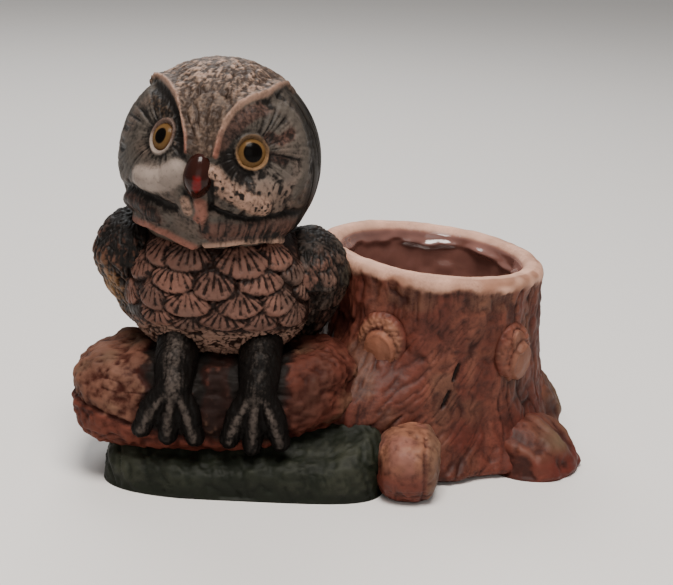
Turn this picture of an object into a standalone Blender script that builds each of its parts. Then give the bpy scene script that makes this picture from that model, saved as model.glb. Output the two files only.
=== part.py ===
"""Owl on a log beside a hollow tree stump: a slip-cast, hand-painted ceramic planter.

Each press-moulded or cast piece is its own closed solid: the stump with its roots and branch
scars, the log and its stub, the moss bank under the log, and the owl's body, head, wings, feet,
tail, eyes and beak. The pieces are luted together, so nothing moves.

Metres, +Z up. The owl looks along -Y, and +X is on the right of someone who faces it. The pieces
are laid out around the layout origin, on the ground, and the last step centres the whole on its
footprint.
"""

import math

import bmesh
import bpy
import numpy as np

# ---------------------------------------------------------------- driving dimensions (metres)
GAP = 0.0003  # slip joint between two luted pieces
VENT_RADIUS = 0.0016  # air passage between two hollow castings

POT_AXIS = (0.0405, 0.036)
POT_INNER_RADIUS = 0.0337
POT_WALL = 0.0092
POT_HEIGHT = 0.0748
POT_FLOOR = 0.008
POT_RIM_SLOPE = 0.083  # the rim drops towards +X
POT_TURN_STEPS = 48

# Roots at the stump's foot: direction from the stump's axis in degrees, how far the tip reaches, size,
# and how far the height falls towards the tip, as a share.
ROOTS = {
    "stump_root_right": {
        "azimuth": -35,
        "reach": 0.0655,
        "length": 0.044,
        "width": 0.041,
        "height": 0.0300,
        "fall": 0.62,
    },
    "stump_root_back": {
        "azimuth": 6,
        "reach": 0.0545,
        "length": 0.030,
        "width": 0.034,
        "height": 0.0420,
        "fall": 0.50,
    },
}

# Swellings of the stump's foot, where a root, the stub or the log flows into it: direction in degrees,
# how far it bulges, half its width round the stump, the height of its middle and half its height.
SWELLINGS = (
    (-123, 0.0175, 0.0190, 0.028, 0.0135),
    (-114, 0.0130, 0.0140, 0.008, 0.014),
    (-92, 0.0040, 0.0150, 0.000, 0.012),
    (-62, 0.0030, 0.0200, 0.000, 0.010),
    (-33, 0.0095, 0.0150, 0.000, 0.015),
    (6, 0.0050, 0.0120, 0.000, 0.024),
)

# Healed branch scars on the stump's face: direction, height of the middle, and half sizes.
SCARS = {
    "knot_left": {"azimuth": -116, "height": 0.0496, "wide": 0.0098, "high": 0.0105},
    "knot_right": {"azimuth": -45, "height": 0.0445, "wide": 0.0092, "high": 0.0112},
}
SCAR_THICKNESS = 0.0040
SCAR_BED = 0.0008  # how deep its middle is set into the stump's face
SCAR_FACE = 0.62  # the cut face's radius, as a share of the scar's half width

HEAD_CENTRE = (-0.038, 0.002, 0.1126)
HEAD_RADIUS = 0.0356
HEAD_TURN = (0.0, math.radians(6), math.radians(-8))
HEAD_WALL = 0.0085

EYE_DIRECTION = (30.5, 18.4)  # azimuth and elevation from the head's centre, degrees
EYE_RADIUS = 0.0064
EYE_DEPTH = 0.0281  # from the head's centre to the eyeball's
BEAK_CENTRE = (0, -0.0345, 0.0012)  # from the head's centre
BEAK_HALF = (0.0050, 0.0052, 0.0080)

BODY_CENTRE = (-0.037, 0.002, 0.068)
BODY_HALF = (0.0335, 0.0285, 0.027)
BODY_WALL = 0.006

WING_HALF = (0.0158, 0.021, 0.0185)
WING_OUT = 0.0305  # from the body's axis to the wing's centre
WING_BACK = 0.008
WING_HEIGHTS = {"left": 0.0750, "right": 0.0695}

TAIL_CENTRE = (-0.037, 0.0285, 0.0445)
TAIL_HALF = (0.0130, 0.0068, 0.0210)
TAIL_LEAN = math.radians(14)

LOG_CENTRE = (-0.0368, -0.005, 0.0300)
LOG_HALF = (0.0502, 0.027, 0.0168)
LOG_HOLLOW_CENTRE = (-0.0460, -0.005, 0.0300)
LOG_HOLLOW_HALF = (0.0345, 0.0205, 0.0105)
LOG_RISE = 0.08  # how the log's underside climbs towards the stump
LOG_SAG = 0.0042  # how far its underside bulges down below the owl
LOG_SAG_MIDDLE = 0.0125  # from the log's centre
LOG_SAG_WIDTH = 0.027
LOG_LIFT = 0.0075  # how its underside curves up at the free end

MOSS_CENTRE = (-0.0255, -0.0105, 0.0)
MOSS_HALF = (0.0505, 0.0285, 0.0125)
MOSS_STEP = (0.009, 0.020)  # where the bank rises against the log, from its front
MOSS_STEP_HEIGHT = 0.0055

STUB_CENTRE = (0.033, -0.0205, 0.0108)
STUB_HALF = (0.0115, 0.0185, 0.0128)

# Where each leg leaves the belly, and the tips of its toes on the log's front.
FEET = {
    "left": {
        "across": -0.0500,
        "tips": ((-0.0609, 0.0235), (-0.0516, 0.0212), (-0.0422, 0.0210)),
    },
    "right": {
        "across": -0.0208,
        "tips": ((-0.0303, 0.0208), (-0.0221, 0.0185), (-0.0122, 0.0205)),
    },
}
LEG_STOPS = ((-0.0160, 0.0500), (-0.0255, 0.0450), (-0.0312, 0.0385))  # depth and height
TOE_DEPTHS = (-0.0312, -0.0340, -0.0330)  # at the ankle, the knuckle and the tip
LEG_RADII = (0.0080, 0.0078, 0.0068)
TOE_RADII = (0.0046, 0.0044, 0.0036)

# Relief on the head, as bands that follow stops of azimuth and elevation in degrees. Each band is
# made on both sides: (stops, width in degrees, height in metres).
FACE_RELIEF = (
    (((3, 13), (11, 27), (23, 39), (43, 50), (66, 51)), 6.5, 0.0030),  # brow
    (((27, 19), (32, 17)), 13.0, -0.0036),  # eye socket
    (((10, 15), (14, 5)), 6.0, -0.0028),  # shadow beside the beak
    (((9, 6), (20, -4), (35, -11)), 8.0, 0.0028),  # cheek puff
    (((58, 44), (72, 26), (77, 5), (72, -12), (60, -22)), 7.0, 0.0008),  # edge of the face disc
    (((80, -19), (52, -24), (26, -26), (7, -31)), 4.5, -0.0024),  # groove above the collar
    (((92, -25), (64, -33), (38, -38), (14, -43), (0, -44)), 7.0, 0.0028),  # collar
    (((0, -17), (0, -28)), 7.0, 0.0022),  # chin tuft
)

# name: (red, green, blue, roughness)
COLOURS = {
    "stump_bark": (0.24, 0.105, 0.070, 0.45),
    "root_bark": (0.25, 0.110, 0.072, 0.45),
    "branch_scar": (0.42, 0.235, 0.165, 0.45),
    "log_bark": (0.22, 0.095, 0.068, 0.45),
    "stub_bark": (0.33, 0.165, 0.110, 0.45),
    "moss": (0.018, 0.032, 0.017, 0.55),
    "breast_feather": (0.30, 0.210, 0.165, 0.50),
    "head_feather": (0.26, 0.215, 0.185, 0.50),
    "wing_feather": (0.10, 0.080, 0.062, 0.50),
    "tail_feather": (0.07, 0.060, 0.050, 0.50),
    "foot_glaze": (0.035, 0.038, 0.036, 0.40),
    "eye_glaze": (0.48, 0.300, 0.080, 0.10),
    "beak_glaze": (0.12, 0.016, 0.012, 0.12),
}

parts = bpy.data.collections.new("owl_stump_planter")
cutters = bpy.data.collections.new("owl_stump_planter_cutters")
layout = bpy.data.objects.new("layout_origin", None)


# ---------------------------------------------------------------- scene and object helpers
def start_scene():
    for obj in list(bpy.data.objects):
        if obj is not layout:
            bpy.data.objects.remove(obj)
    bpy.context.scene.collection.children.link(parts)
    bpy.context.scene.collection.children.link(cutters)
    parts.objects.link(layout)


def glazed(name):
    """The painted and glazed finish of this name."""
    material = bpy.data.materials.get(name)
    if material:
        return material
    red, green, blue, roughness = COLOURS[name]
    material = bpy.data.materials.new(name)
    material.use_nodes = True
    shader = material.node_tree.nodes["Principled BSDF"]
    shader.inputs["Base Color"].default_value = (red, green, blue, 1)
    shader.inputs["Roughness"].default_value = roughness
    shader.inputs["Metallic"].default_value = 0
    return material


def place(obj, colour=None, parent=None):
    """Put a piece in the model, or a cutter among the cutters."""
    if colour:
        parts.objects.link(obj)
        obj.data.materials.append(glazed(colour))
        obj.data.shade_smooth()
    else:
        cutters.objects.link(obj)
        obj.hide_render = True
        obj.display_type = "WIRE"
    obj.parent = parent or layout
    return obj


def cut(piece, *tools):
    for tool in tools:
        boolean = piece.modifiers.new("cut_by_" + tool.name, "BOOLEAN")
        boolean.operation = "DIFFERENCE"
        boolean.solver = "EXACT"
        boolean.object = tool


def join(piece, *others):
    for other in others:
        boolean = piece.modifiers.new("join_" + other.name, "BOOLEAN")
        boolean.operation = "UNION"
        boolean.solver = "EXACT"
        boolean.object = other


def clearance(piece):
    """A cutter of the piece's own shape, a slip joint larger all round."""
    tool = bpy.data.objects.new(piece.name + "_clearance", piece.data)
    tool.location = piece.location
    tool.rotation_euler = piece.rotation_euler
    place(tool, parent=piece.parent)
    grow = tool.modifiers.new("grow", "DISPLACE")
    grow.mid_level = 0
    grow.strength = GAP
    return tool


# ---------------------------------------------------------------- shapes
def ball(name, divisions):
    """A unit ball from a subdivided cube, with its faces evenly spread."""
    mesh = bpy.data.meshes.new(name)
    form = bmesh.new()
    bmesh.ops.create_cube(form, size=2)
    bmesh.ops.subdivide_edges(form, edges=form.edges[:], cuts=divisions - 1, use_grid_fill=True)
    for vertex in form.verts:
        for axis in range(3):
            vertex.co[axis] = math.tan(vertex.co[axis] * math.pi / 4)
        vertex.co.normalize()
    form.to_mesh(mesh)
    form.free()
    return bpy.data.objects.new(name, mesh)


def sculpt(obj, form):
    """Move the object's points to where the form puts them."""
    points = np.empty(3 * len(obj.data.vertices))
    obj.data.vertices.foreach_get("co", points)
    obj.data.vertices.foreach_set("co", form(points.reshape(-1, 3)).ravel())
    obj.data.update()


def split_quads(obj):
    """Cut every face into triangles the same way, so that a piece and its cutter have the same facets."""
    form = bmesh.new()
    form.from_mesh(obj.data)
    bmesh.ops.triangulate(form, faces=form.faces[:], quad_method="FIXED")
    form.to_mesh(obj.data)
    form.free()


def squared_off(unit, power):
    """The unit ball pushed towards a box: power 2 is the ball, and a high power is the box."""
    return unit / (np.abs(unit) ** power).sum(axis=1, keepdims=True) ** (1 / power)


def lump(name, divisions, centre, half, power=2.0, turn=(0, 0, 0)):
    """A rounded block with the given half sizes."""
    obj = ball(name, divisions)
    sculpt(obj, lambda unit: squared_off(unit, power) * half)
    obj.location = centre
    obj.rotation_euler = turn
    return obj


def tube(name, stops, radii):
    """A tapered tube with rounded ends, as a mesh: a curve with a radius at each stop."""
    curve = bpy.data.curves.new(name, "CURVE")
    curve.dimensions = "3D"
    curve.bevel_depth = 1
    curve.bevel_resolution = 4
    curve.use_fill_caps = True
    spline = curve.splines.new("POLY")
    spline.points.add(len(stops) - 1)
    for point, stop, radius in zip(spline.points, stops, radii):
        point.co = (*stop, 1)
        point.radius = radius
    guide = bpy.data.objects.new(name + "_guide", curve)
    cutters.objects.link(guide)
    bpy.context.view_layer.update()
    evaluated = guide.evaluated_get(bpy.context.evaluated_depsgraph_get())
    mesh = bpy.data.meshes.new_from_object(evaluated)
    bpy.data.objects.remove(guide)
    form = bmesh.new()
    form.from_mesh(mesh)
    bmesh.ops.remove_doubles(form, verts=form.verts, dist=1e-6)
    form.to_mesh(mesh)
    form.free()
    mesh.name = name
    return bpy.data.objects.new(name, mesh)


def limb(name, stops, radii):
    """A tapered tube through the stops, with a dome on each end."""
    stops = [np.array(stop) for stop in stops]
    first = stops[0] - stops[1]
    last = stops[-1] - stops[-2]
    first /= np.linalg.norm(first)
    last /= np.linalg.norm(last)
    bends = [math.radians(angle) for angle in (80, 50, 20)]
    line = [stops[0] + first * radii[0] * math.sin(bend) for bend in bends]
    widths = [radii[0] * math.cos(bend) for bend in bends]
    line += stops
    widths += radii
    line += [stops[-1] + last * radii[-1] * math.sin(bend) for bend in reversed(bends)]
    widths += [radii[-1] * math.cos(bend) for bend in reversed(bends)]
    return tube(name, line, widths)


def vent(name, bottom, top):
    """A narrow upright passage."""
    tool = tube(name, (bottom, top), (VENT_RADIUS, VENT_RADIUS))
    return place(tool)


# ---------------------------------------------------------------- stump
def pot_profile(hollow):
    """Half section from the axis out, over the rim and down the outside to the axis."""
    outer = POT_INNER_RADIUS + POT_WALL
    outside = (
        (outer - 0.0035, POT_HEIGHT),
        (outer - 0.0010, POT_HEIGHT - 0.0010),
        (outer, POT_HEIGHT - 0.0035),
        (outer - 0.0008, POT_HEIGHT - 0.0110),
        (outer - 0.0008, POT_HEIGHT - 0.0230),
        (outer - 0.0004, POT_HEIGHT - 0.0360),
        (outer + 0.0004, POT_HEIGHT - 0.0480),
        (outer + 0.0016, POT_HEIGHT - 0.0580),
        (outer + 0.0030, POT_HEIGHT - 0.0660),
        (outer + 0.0040, POT_HEIGHT - 0.0720),
        (outer + 0.0032, 0),
        (0, 0),
    )
    if not hollow:
        return ((0, POT_HEIGHT), *outside)
    floor_radius = POT_INNER_RADIUS - 0.005
    cavity = (
        (0, POT_FLOOR),
        (floor_radius - 0.006, POT_FLOOR),
        (floor_radius, POT_FLOOR + 0.004),
        (POT_INNER_RADIUS - 0.003, POT_HEIGHT * 0.35),
        (POT_INNER_RADIUS - 0.001, POT_HEIGHT * 0.75),
        (POT_INNER_RADIUS, POT_HEIGHT - 0.0030),
        (POT_INNER_RADIUS + 0.0030, POT_HEIGHT),
    )
    return (*cavity, *outside)


def bark_form(points):
    """Bark swellings, root flares at the foot, and a rim that slopes."""
    across, height = points[:, :2], points[:, 2]
    radius = np.linalg.norm(across, axis=1)
    angle = np.arctan2(across[:, 1], across[:, 0])
    outside = radius > POT_INNER_RADIUS + POT_WALL / 2
    foot = np.exp(-height / 0.014)
    flare = 0.0012 + 0.0010 * np.cos(5 * angle + 0.6)
    ripple = 0.0007 * np.cos(9 * angle + 0.8 + 18 * height) + 0.0004 * np.cos(14 * angle - 25 * height)
    below_rim = np.clip((POT_HEIGHT - 0.004 - height) / 0.012, 0, 1)
    swelling = np.zeros(len(points))
    for azimuth, bulge, half_width, middle, half_height in SWELLINGS:
        turn = (angle - math.radians(azimuth) + math.pi) % (2 * math.pi) - math.pi
        along = turn * (POT_INNER_RADIUS + POT_WALL) / half_width
        swelling += bulge * np.exp(-(along**2) - ((height - middle) / half_height) ** 2)
    grown = radius + outside * (flare * foot + ripple * below_rim + swelling)
    scale = grown / np.maximum(radius, 1e-9)
    tilt = -POT_RIM_SLOPE * points[:, 0] * height / POT_HEIGHT
    return np.column_stack((across * scale[:, None], height + tilt))


def turned(name, profile):
    """The profile turned about +Z, as a mesh."""
    mesh = bpy.data.meshes.new(name)
    points = [(radius, 0, height) for radius, height in profile]
    mesh.from_pydata(points, [(i, i + 1) for i in range(len(points) - 1)], [])
    guide = bpy.data.objects.new(name + "_guide", mesh)
    cutters.objects.link(guide)
    screw = guide.modifiers.new("turn", "SCREW")
    screw.steps = POT_TURN_STEPS
    screw.render_steps = POT_TURN_STEPS
    screw.use_merge_vertices = True
    screw.merge_threshold = 0.00001
    bpy.context.view_layer.update()
    evaluated = guide.evaluated_get(bpy.context.evaluated_depsgraph_get())
    turned_mesh = bpy.data.meshes.new_from_object(evaluated)
    bpy.data.objects.remove(guide)
    turned_mesh.name = name
    return bpy.data.objects.new(name, turned_mesh)


def make_pot():
    """The stump and a cutter of its full outer shape."""
    pot = turned("stump_pot", pot_profile(hollow=True))
    core = turned("stump_core", pot_profile(hollow=False))
    for obj in (pot, core):
        sculpt(obj, bark_form)
        split_quads(obj)
        obj.location = (*POT_AXIS, 0)
    place(pot, "stump_bark")
    place(core)
    grow = core.modifiers.new("grow", "DISPLACE")
    grow.mid_level = 0
    grow.strength = GAP
    return core


def on_ground(points):
    """Flatten whatever is below the layout's ground."""
    points[:, 2] = np.maximum(points[:, 2], 0)
    return points


def root_form(length, width, height, fall):
    """A root that lies along +X: broad and high at the stump, low and round at its tip."""

    def form(unit):
        block = squared_off(unit, 2.6)
        outward = (block[:, 0] + 1) / 2
        x = block[:, 0] * length / 2
        y = block[:, 1] * width / 2 * (1 - 0.15 * outward)
        z = block[:, 2] * height * (1 - fall * outward)
        return on_ground(np.column_stack((x, y, z)))

    return form


def make_root(name, core):
    size = ROOTS[name]
    root = ball(name, 6)
    sculpt(root, root_form(size["length"], size["width"], size["height"], size["fall"]))
    angle = math.radians(size["azimuth"])
    middle = size["reach"] - size["length"] / 2
    root.location = (
        POT_AXIS[0] + middle * math.cos(angle),
        POT_AXIS[1] + middle * math.sin(angle),
        0,
    )
    root.rotation_euler = (0, 0, angle)
    place(root, "root_bark")
    cut(root, core)


def scar_form(wide, high):
    """A healed branch scar facing +X: a rounded collar around a cut face."""
    face_radius = SCAR_FACE * wide

    def form(unit):
        x = unit[:, 0] * SCAR_THICKNESS
        y = unit[:, 1] * wide
        z = unit[:, 2] * high
        from_face = np.hypot(y, z + 0.0015) / face_radius
        front = unit[:, 0] > 0
        x -= front * 0.0010 * np.exp(-(((from_face - 1.05) / 0.22) ** 2))
        return np.column_stack((x, y, z))

    return form


def make_scar(name, core):
    size = SCARS[name]
    scar = ball(name, 6)
    sculpt(scar, scar_form(size["wide"], size["high"]))
    angle = math.radians(size["azimuth"])
    reach = POT_INNER_RADIUS + POT_WALL - SCAR_BED
    scar.location = (
        POT_AXIS[0] + reach * math.cos(angle),
        POT_AXIS[1] + reach * math.sin(angle),
        size["height"],
    )
    scar.rotation_euler = (0, 0, angle)
    place(scar, "branch_scar")
    cut(scar, core)


# ---------------------------------------------------------------- log, stub and moss
def log_form(unit):
    """A fallen log along X: blunt at its free end, thinner where it meets the stump."""
    block = squared_off(unit, 2.8)
    toward_stump = np.clip(block[:, 0], -1, 1)
    blunt = np.sign(toward_stump) * (1 - (1 - np.abs(toward_stump)) ** 1.4)
    x = blunt * LOG_HALF[0]
    swell = 1 - 0.07 * toward_stump + 0.03 * np.cos(4.2 * toward_stump + 0.6)
    taper = np.clip((toward_stump - 0.35) / 0.65, 0, 1) ** 2
    y = block[:, 1] * LOG_HALF[1] * swell * (1 - 0.45 * taper)
    underside = (1 - block[:, 2]) / 2
    sag = LOG_SAG * np.exp(-(((x - LOG_SAG_MIDDLE) / LOG_SAG_WIDTH) ** 2))
    lift = LOG_LIFT * np.clip(-toward_stump, 0, 1) ** 5
    z = block[:, 2] * LOG_HALF[2] * swell + (LOG_RISE * x - sag + lift) * underside
    return np.column_stack((x, y, z))


def moss_form(unit):
    """A low bank with a flat underside that climbs towards the stub."""
    block = squared_off(unit, 4.5)
    x = block[:, 0] * MOSS_HALF[0]
    y = block[:, 1] * MOSS_HALF[1]
    climb = np.clip(block[:, 0], 0, 1) ** 2
    waves = 0.06 * np.sin(x / 0.006) + 0.05 * np.sin(x / 0.011 + 1)
    z = block[:, 2] * MOSS_HALF[2] * (1 + 0.75 * climb + waves)
    inward = np.clip((y + MOSS_HALF[1] - MOSS_STEP[0]) / (MOSS_STEP[1] - MOSS_STEP[0]), 0, 1)
    z += MOSS_STEP_HEIGHT * inward * np.clip(block[:, 2], 0, 1)
    left = np.clip(-block[:, 0], 0, 1)
    y += 0.006 * left**3 * np.clip(-block[:, 1], 0, 1)
    return on_ground(np.column_stack((x, y, z)))


def make_log(core):
    log = ball("log_perch", 11)
    sculpt(log, log_form)
    log.location = LOG_CENTRE
    place(log, "log_bark")
    hollow = lump("log_hollow", 4, LOG_HOLLOW_CENTRE, LOG_HOLLOW_HALF, 3.0)
    place(hollow)
    middle = LOG_HOLLOW_CENTRE
    passage = vent("log_vent", (middle[0], middle[1], 0), middle)
    cut(log, core, hollow, passage)
    return log


def make_stub(core):
    stub = ball("log_stub", 7)
    sculpt(stub, lambda unit: squared_off(unit, 2.7) * STUB_HALF)
    stub.location = STUB_CENTRE
    lift = STUB_CENTRE[2]
    sculpt(stub, lambda points: on_ground(points + (0, 0, lift)) - (0, 0, lift))
    place(stub, "stub_bark")
    cut(stub, core)
    return stub


def make_moss(core, log, stub):
    moss = ball("moss_bank", 9)
    sculpt(moss, moss_form)
    moss.location = MOSS_CENTRE
    place(moss, "moss")
    cut(moss, core, clearance(log), clearance(stub))
    return moss


# ---------------------------------------------------------------- owl
def direction(azimuth, elevation):
    """Unit direction from the head's centre: azimuth from straight ahead towards +X, degrees."""
    turn = math.radians(azimuth)
    lift = math.radians(elevation)
    return np.array((math.sin(turn) * math.cos(lift), -math.cos(turn) * math.cos(lift), math.sin(lift)))


def band(unit, stops, width):
    """From 0 to 1: how near each direction is to the line through the stops."""
    corners = [direction(*stop) for stop in stops]
    nearest = np.full(len(unit), np.inf)
    for start, end in zip(corners, corners[1:]):
        run = end - start
        along = np.clip((unit - start) @ run / (run @ run), 0, 1)
        offset = unit - start - along[:, None] * run
        nearest = np.minimum(nearest, np.linalg.norm(offset, axis=1))
    return np.exp(-((nearest / math.radians(width)) ** 2))


def head_form(unit):
    relief = np.zeros(len(unit))
    for stops, width, height in FACE_RELIEF:
        for side in (-1, 1):
            mirrored = tuple((side * azimuth, elevation) for azimuth, elevation in stops)
            strength = band(unit, mirrored, width)
            relief += height * strength * (0.5 if stops[0][0] == 0 else 1)
    return unit * (HEAD_RADIUS + relief)[:, None]


def make_head():
    head = ball("owl_head", 14)
    sculpt(head, head_form)
    head.location = HEAD_CENTRE
    head.rotation_euler = HEAD_TURN
    place(head, "head_feather")
    hollow = lump("head_hollow", 4, HEAD_CENTRE, (HEAD_RADIUS - HEAD_WALL,) * 3)
    place(hollow)
    neck = (HEAD_CENTRE[0], HEAD_CENTRE[1])
    passage = vent("head_vent", (*neck, BODY_CENTRE[2]), (*neck, HEAD_CENTRE[2]))
    cut(head, hollow, passage)
    return head


def make_eyes_and_beak(head):
    for side, name in ((-1, "left"), (1, "right")):
        azimuth, elevation = EYE_DIRECTION
        centre = direction(side * azimuth, elevation) * EYE_DEPTH
        eye = lump("owl_eye_" + name, 5, centre, (EYE_RADIUS,) * 3)
        place(eye, "eye_glaze", parent=head)
        cut(head, clearance(eye))
    beak = ball("owl_beak", 6)
    sculpt(beak, beak_form)
    beak.location = BEAK_CENTRE
    place(beak, "beak_glaze", parent=head)
    cut(head, clearance(beak))


def beak_form(unit):
    """A hooked beak: broad and flat at the top, and drawn to a point below."""
    x, y, z = (unit * BEAK_HALF).T
    lower = np.clip(-unit[:, 2], 0, 1)
    x = x * (1 - 0.55 * lower**1.5)
    y = y * (1 - 0.40 * lower**2)
    z = z - 0.0012 * lower**2
    y -= 0.0012 * np.exp(-(((unit[:, 2] + 0.1) / 0.5) ** 2))
    return np.column_stack((x, y, z))


def body_form(unit):
    """An egg with a full breast and a broad belly."""
    block = squared_off(unit, 2.3)
    x = block[:, 0] * BODY_HALF[0] * (1 - 0.06 * unit[:, 2])
    y = block[:, 1] * BODY_HALF[1]
    z = block[:, 2] * BODY_HALF[2]
    breast = np.clip(-unit[:, 1], 0, 1) ** 2 * np.exp(-(((unit[:, 2] - 0.15) / 0.5) ** 2))
    y -= 0.0015 * breast
    return np.column_stack((x, y, z))


def make_body(head, core, log):
    body = ball("owl_body", 10)
    sculpt(body, body_form)
    body.location = BODY_CENTRE
    place(body, "breast_feather")
    hollow = lump("body_hollow", 4, BODY_CENTRE, np.array(BODY_HALF) - BODY_WALL)
    hollow.location.z -= 0.003
    place(hollow)
    neck = (HEAD_CENTRE[0], HEAD_CENTRE[1])
    passage = vent("body_vent", (*neck, BODY_CENTRE[2]), (*neck, HEAD_CENTRE[2]))
    cut(body, clearance(head), core, clearance(log), hollow, passage)
    return body


def wing_form(side):
    """A folded wing: a full shoulder, and a tip that runs down and back."""

    def form(unit):
        drop = np.clip(-unit[:, 2], 0, 1)
        x = unit[:, 0] * WING_HALF[0] * (1 - 0.30 * drop**2) - side * 0.0030 * drop**2
        y = unit[:, 1] * WING_HALF[1] * (1 - 0.25 * drop) + 0.0110 * drop
        z = unit[:, 2] * WING_HALF[2] - 0.0135 * drop**2
        return np.column_stack((x, y, z))

    return form


def make_wing(side, name, neighbours):
    wing = ball("owl_wing_" + name, 7)
    sculpt(wing, wing_form(side))
    wing.location = (BODY_CENTRE[0] + side * WING_OUT, WING_BACK, WING_HEIGHTS[name])
    place(wing, "wing_feather")
    cut(wing, *neighbours)


def make_tail(neighbours):
    tail = lump("owl_tail", 5, TAIL_CENTRE, TAIL_HALF, power=2.6, turn=(TAIL_LEAN, 0, 0))
    place(tail, "tail_feather")
    cut(tail, *neighbours)


def make_foot(name, neighbours):
    """A leg that comes down from the belly, and three toes over the front of the log."""
    across = FEET[name]["across"]
    leg = limb("owl_foot_" + name, [(across, *stop) for stop in LEG_STOPS], LEG_RADII)
    toes = []
    for number, (tip, tip_height) in enumerate(FEET[name]["tips"]):
        ankle_height = LEG_STOPS[-1][1]
        stops = (
            (across + 0.15 * (tip - across), TOE_DEPTHS[0], ankle_height),
            (across + 0.70 * (tip - across), TOE_DEPTHS[1], (ankle_height + tip_height) / 2),
            (tip, TOE_DEPTHS[2], tip_height),
        )
        toes.append(place(limb(f"toe_{name}_{number}", stops, TOE_RADII)))
    place(leg, "foot_glaze")
    join(leg, *toes)
    cut(leg, *neighbours)


def finished_points(obj, graph):
    """The finished piece's points in the world."""
    evaluated = obj.evaluated_get(graph)
    mesh = evaluated.to_mesh()
    points = np.empty(3 * len(mesh.vertices))
    mesh.vertices.foreach_get("co", points)
    evaluated.to_mesh_clear()
    matrix = np.array(evaluated.matrix_world)
    return points.reshape(-1, 3) @ matrix[:3, :3].T + matrix[:3, 3]


def centre_on_footprint():
    """Move the layout so that the origin is on the ground, under the middle of the whole."""
    bpy.context.view_layer.update()
    graph = bpy.context.evaluated_depsgraph_get()
    whole = np.vstack([finished_points(obj, graph) for obj in parts.objects if obj.type == "MESH"])
    low = whole.min(axis=0)
    middle = (low + whole.max(axis=0)) / 2
    layout.location = (-middle[0], -middle[1], -low[2])


def main():
    start_scene()
    core = make_pot()
    for name in ROOTS:
        make_root(name, core)
    for name in SCARS:
        make_scar(name, core)
    log = make_log(core)
    stub = make_stub(core)
    make_moss(core, log, stub)
    head = make_head()
    make_eyes_and_beak(head)
    body = make_body(head, core, log)
    around_body = (clearance(body), clearance(head), clearance(log), core)
    make_wing(-1, "left", around_body)
    make_wing(1, "right", around_body)
    make_tail(around_body)
    for name in FEET:
        make_foot(name, around_body)
    centre_on_footprint()


main()
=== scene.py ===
"""The looks of an owl on a log beside a hollow tree stump: slip-cast, painted and thinly glazed.

Every visible piece is shaped again here as a fine mesh that stands for its plain solid. The big forms
are the solids' own; feathers, bark, knots and moss are then pressed into the surface in code, and the
same fields drive the paint: dark in the recesses, and rubbed pale where the surface stands up.

Metres, +Z up. The owl looks along -Y, and +X is on the right of someone who faces it. Places are
given from the layout origin, which lies on the ground between the owl and the stump.
"""

import math

import bpy
import numpy as np
from mathutils import Euler, Matrix, Vector


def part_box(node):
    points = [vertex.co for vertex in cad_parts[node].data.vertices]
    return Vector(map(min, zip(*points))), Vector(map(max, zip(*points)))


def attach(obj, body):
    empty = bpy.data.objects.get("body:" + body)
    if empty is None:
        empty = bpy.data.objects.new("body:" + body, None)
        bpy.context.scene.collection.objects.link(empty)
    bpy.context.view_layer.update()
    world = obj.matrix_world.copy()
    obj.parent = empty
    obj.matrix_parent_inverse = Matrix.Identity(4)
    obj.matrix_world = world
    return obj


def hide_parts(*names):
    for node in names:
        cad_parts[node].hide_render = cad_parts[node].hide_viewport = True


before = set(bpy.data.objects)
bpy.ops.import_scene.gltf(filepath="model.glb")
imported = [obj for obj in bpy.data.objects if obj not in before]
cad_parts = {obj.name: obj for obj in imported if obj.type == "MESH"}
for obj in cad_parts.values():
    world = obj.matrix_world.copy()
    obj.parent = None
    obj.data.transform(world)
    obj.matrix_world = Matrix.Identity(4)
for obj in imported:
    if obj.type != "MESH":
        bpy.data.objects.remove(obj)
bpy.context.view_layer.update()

MM = 0.001
UP = np.array((0.0, 0.0, 1.0))

# ---- camera
VIEW_DISTANCE = 0.6
VIEW_CENTRE = (0.0049, 0.0, 0.066)  # what the middle of the picture shows
VIEW_PITCH = math.radians(16.2)
VIEW_ROLL = math.radians(2.5)
LENS = 89.15  # millimetres, as the sensor is
SENSOR = 36.0

# ---- big forms, as on the solids
POT_AXIS = (0.0405, 0.036)
POT_INNER_RADIUS = 0.0337
POT_WALL = 0.0092
POT_HEIGHT = 0.0748
POT_FLOOR = 0.008
POT_RIM_SLOPE = 0.083
FOOT_FADE = 0.014  # how fast the stump's flare at the ground dies out upwards
FLARE = (0.0012, 0.001)  # all round, and more and less in turn over the five flares
RIPPLES = (0.0007, 0.0004)
RIM_BAND = 4.2 * MM  # how far down the pale rim reaches before the bark starts
RIM_NECK = (7.5 * MM, 3.5 * MM)  # depth and half height of the waist under the rim
GLAZE_LEDGE = (6.5 * MM, 1.5 * MM)  # depth and half height of the thick glaze inside the mouth

# Each root: azimuth, how far its tip is from the stump's axis, length, width, height, and how much of
# its height is lost towards the tip.
ROOTS = {
    "stump_root_right": (-35, 0.0655, 0.044, 0.041, 0.03, 0.62),
    "stump_root_back": (6, 0.0545, 0.03, 0.034, 0.042, 0.5),
}
ROOT_BLEND = 0.17  # how much narrower the fine roots are where they leave the bark

# Each branch scar: azimuth, height above the ground, half width and half height.
SCARS = {
    "knot_left": (-116, 0.0496, 0.0098, 0.0105),
    "knot_right": (-45, 0.0445, 0.0092, 0.0112),
}
SCAR_THICKNESS = 0.004
SCAR_BED = 0.0008
# Smooth lobes on each scar: sideways and upward place, radius (shares of the half sizes), height in mm.
SCAR_LOBES = {
    "knot_left": ((0.04, -0.32, 0.62, 0.9),),
    "knot_right": ((-0.05, 0.42, 0.34, 0.5), (0.18, -0.3, 0.58, 0.8)),
}
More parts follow.
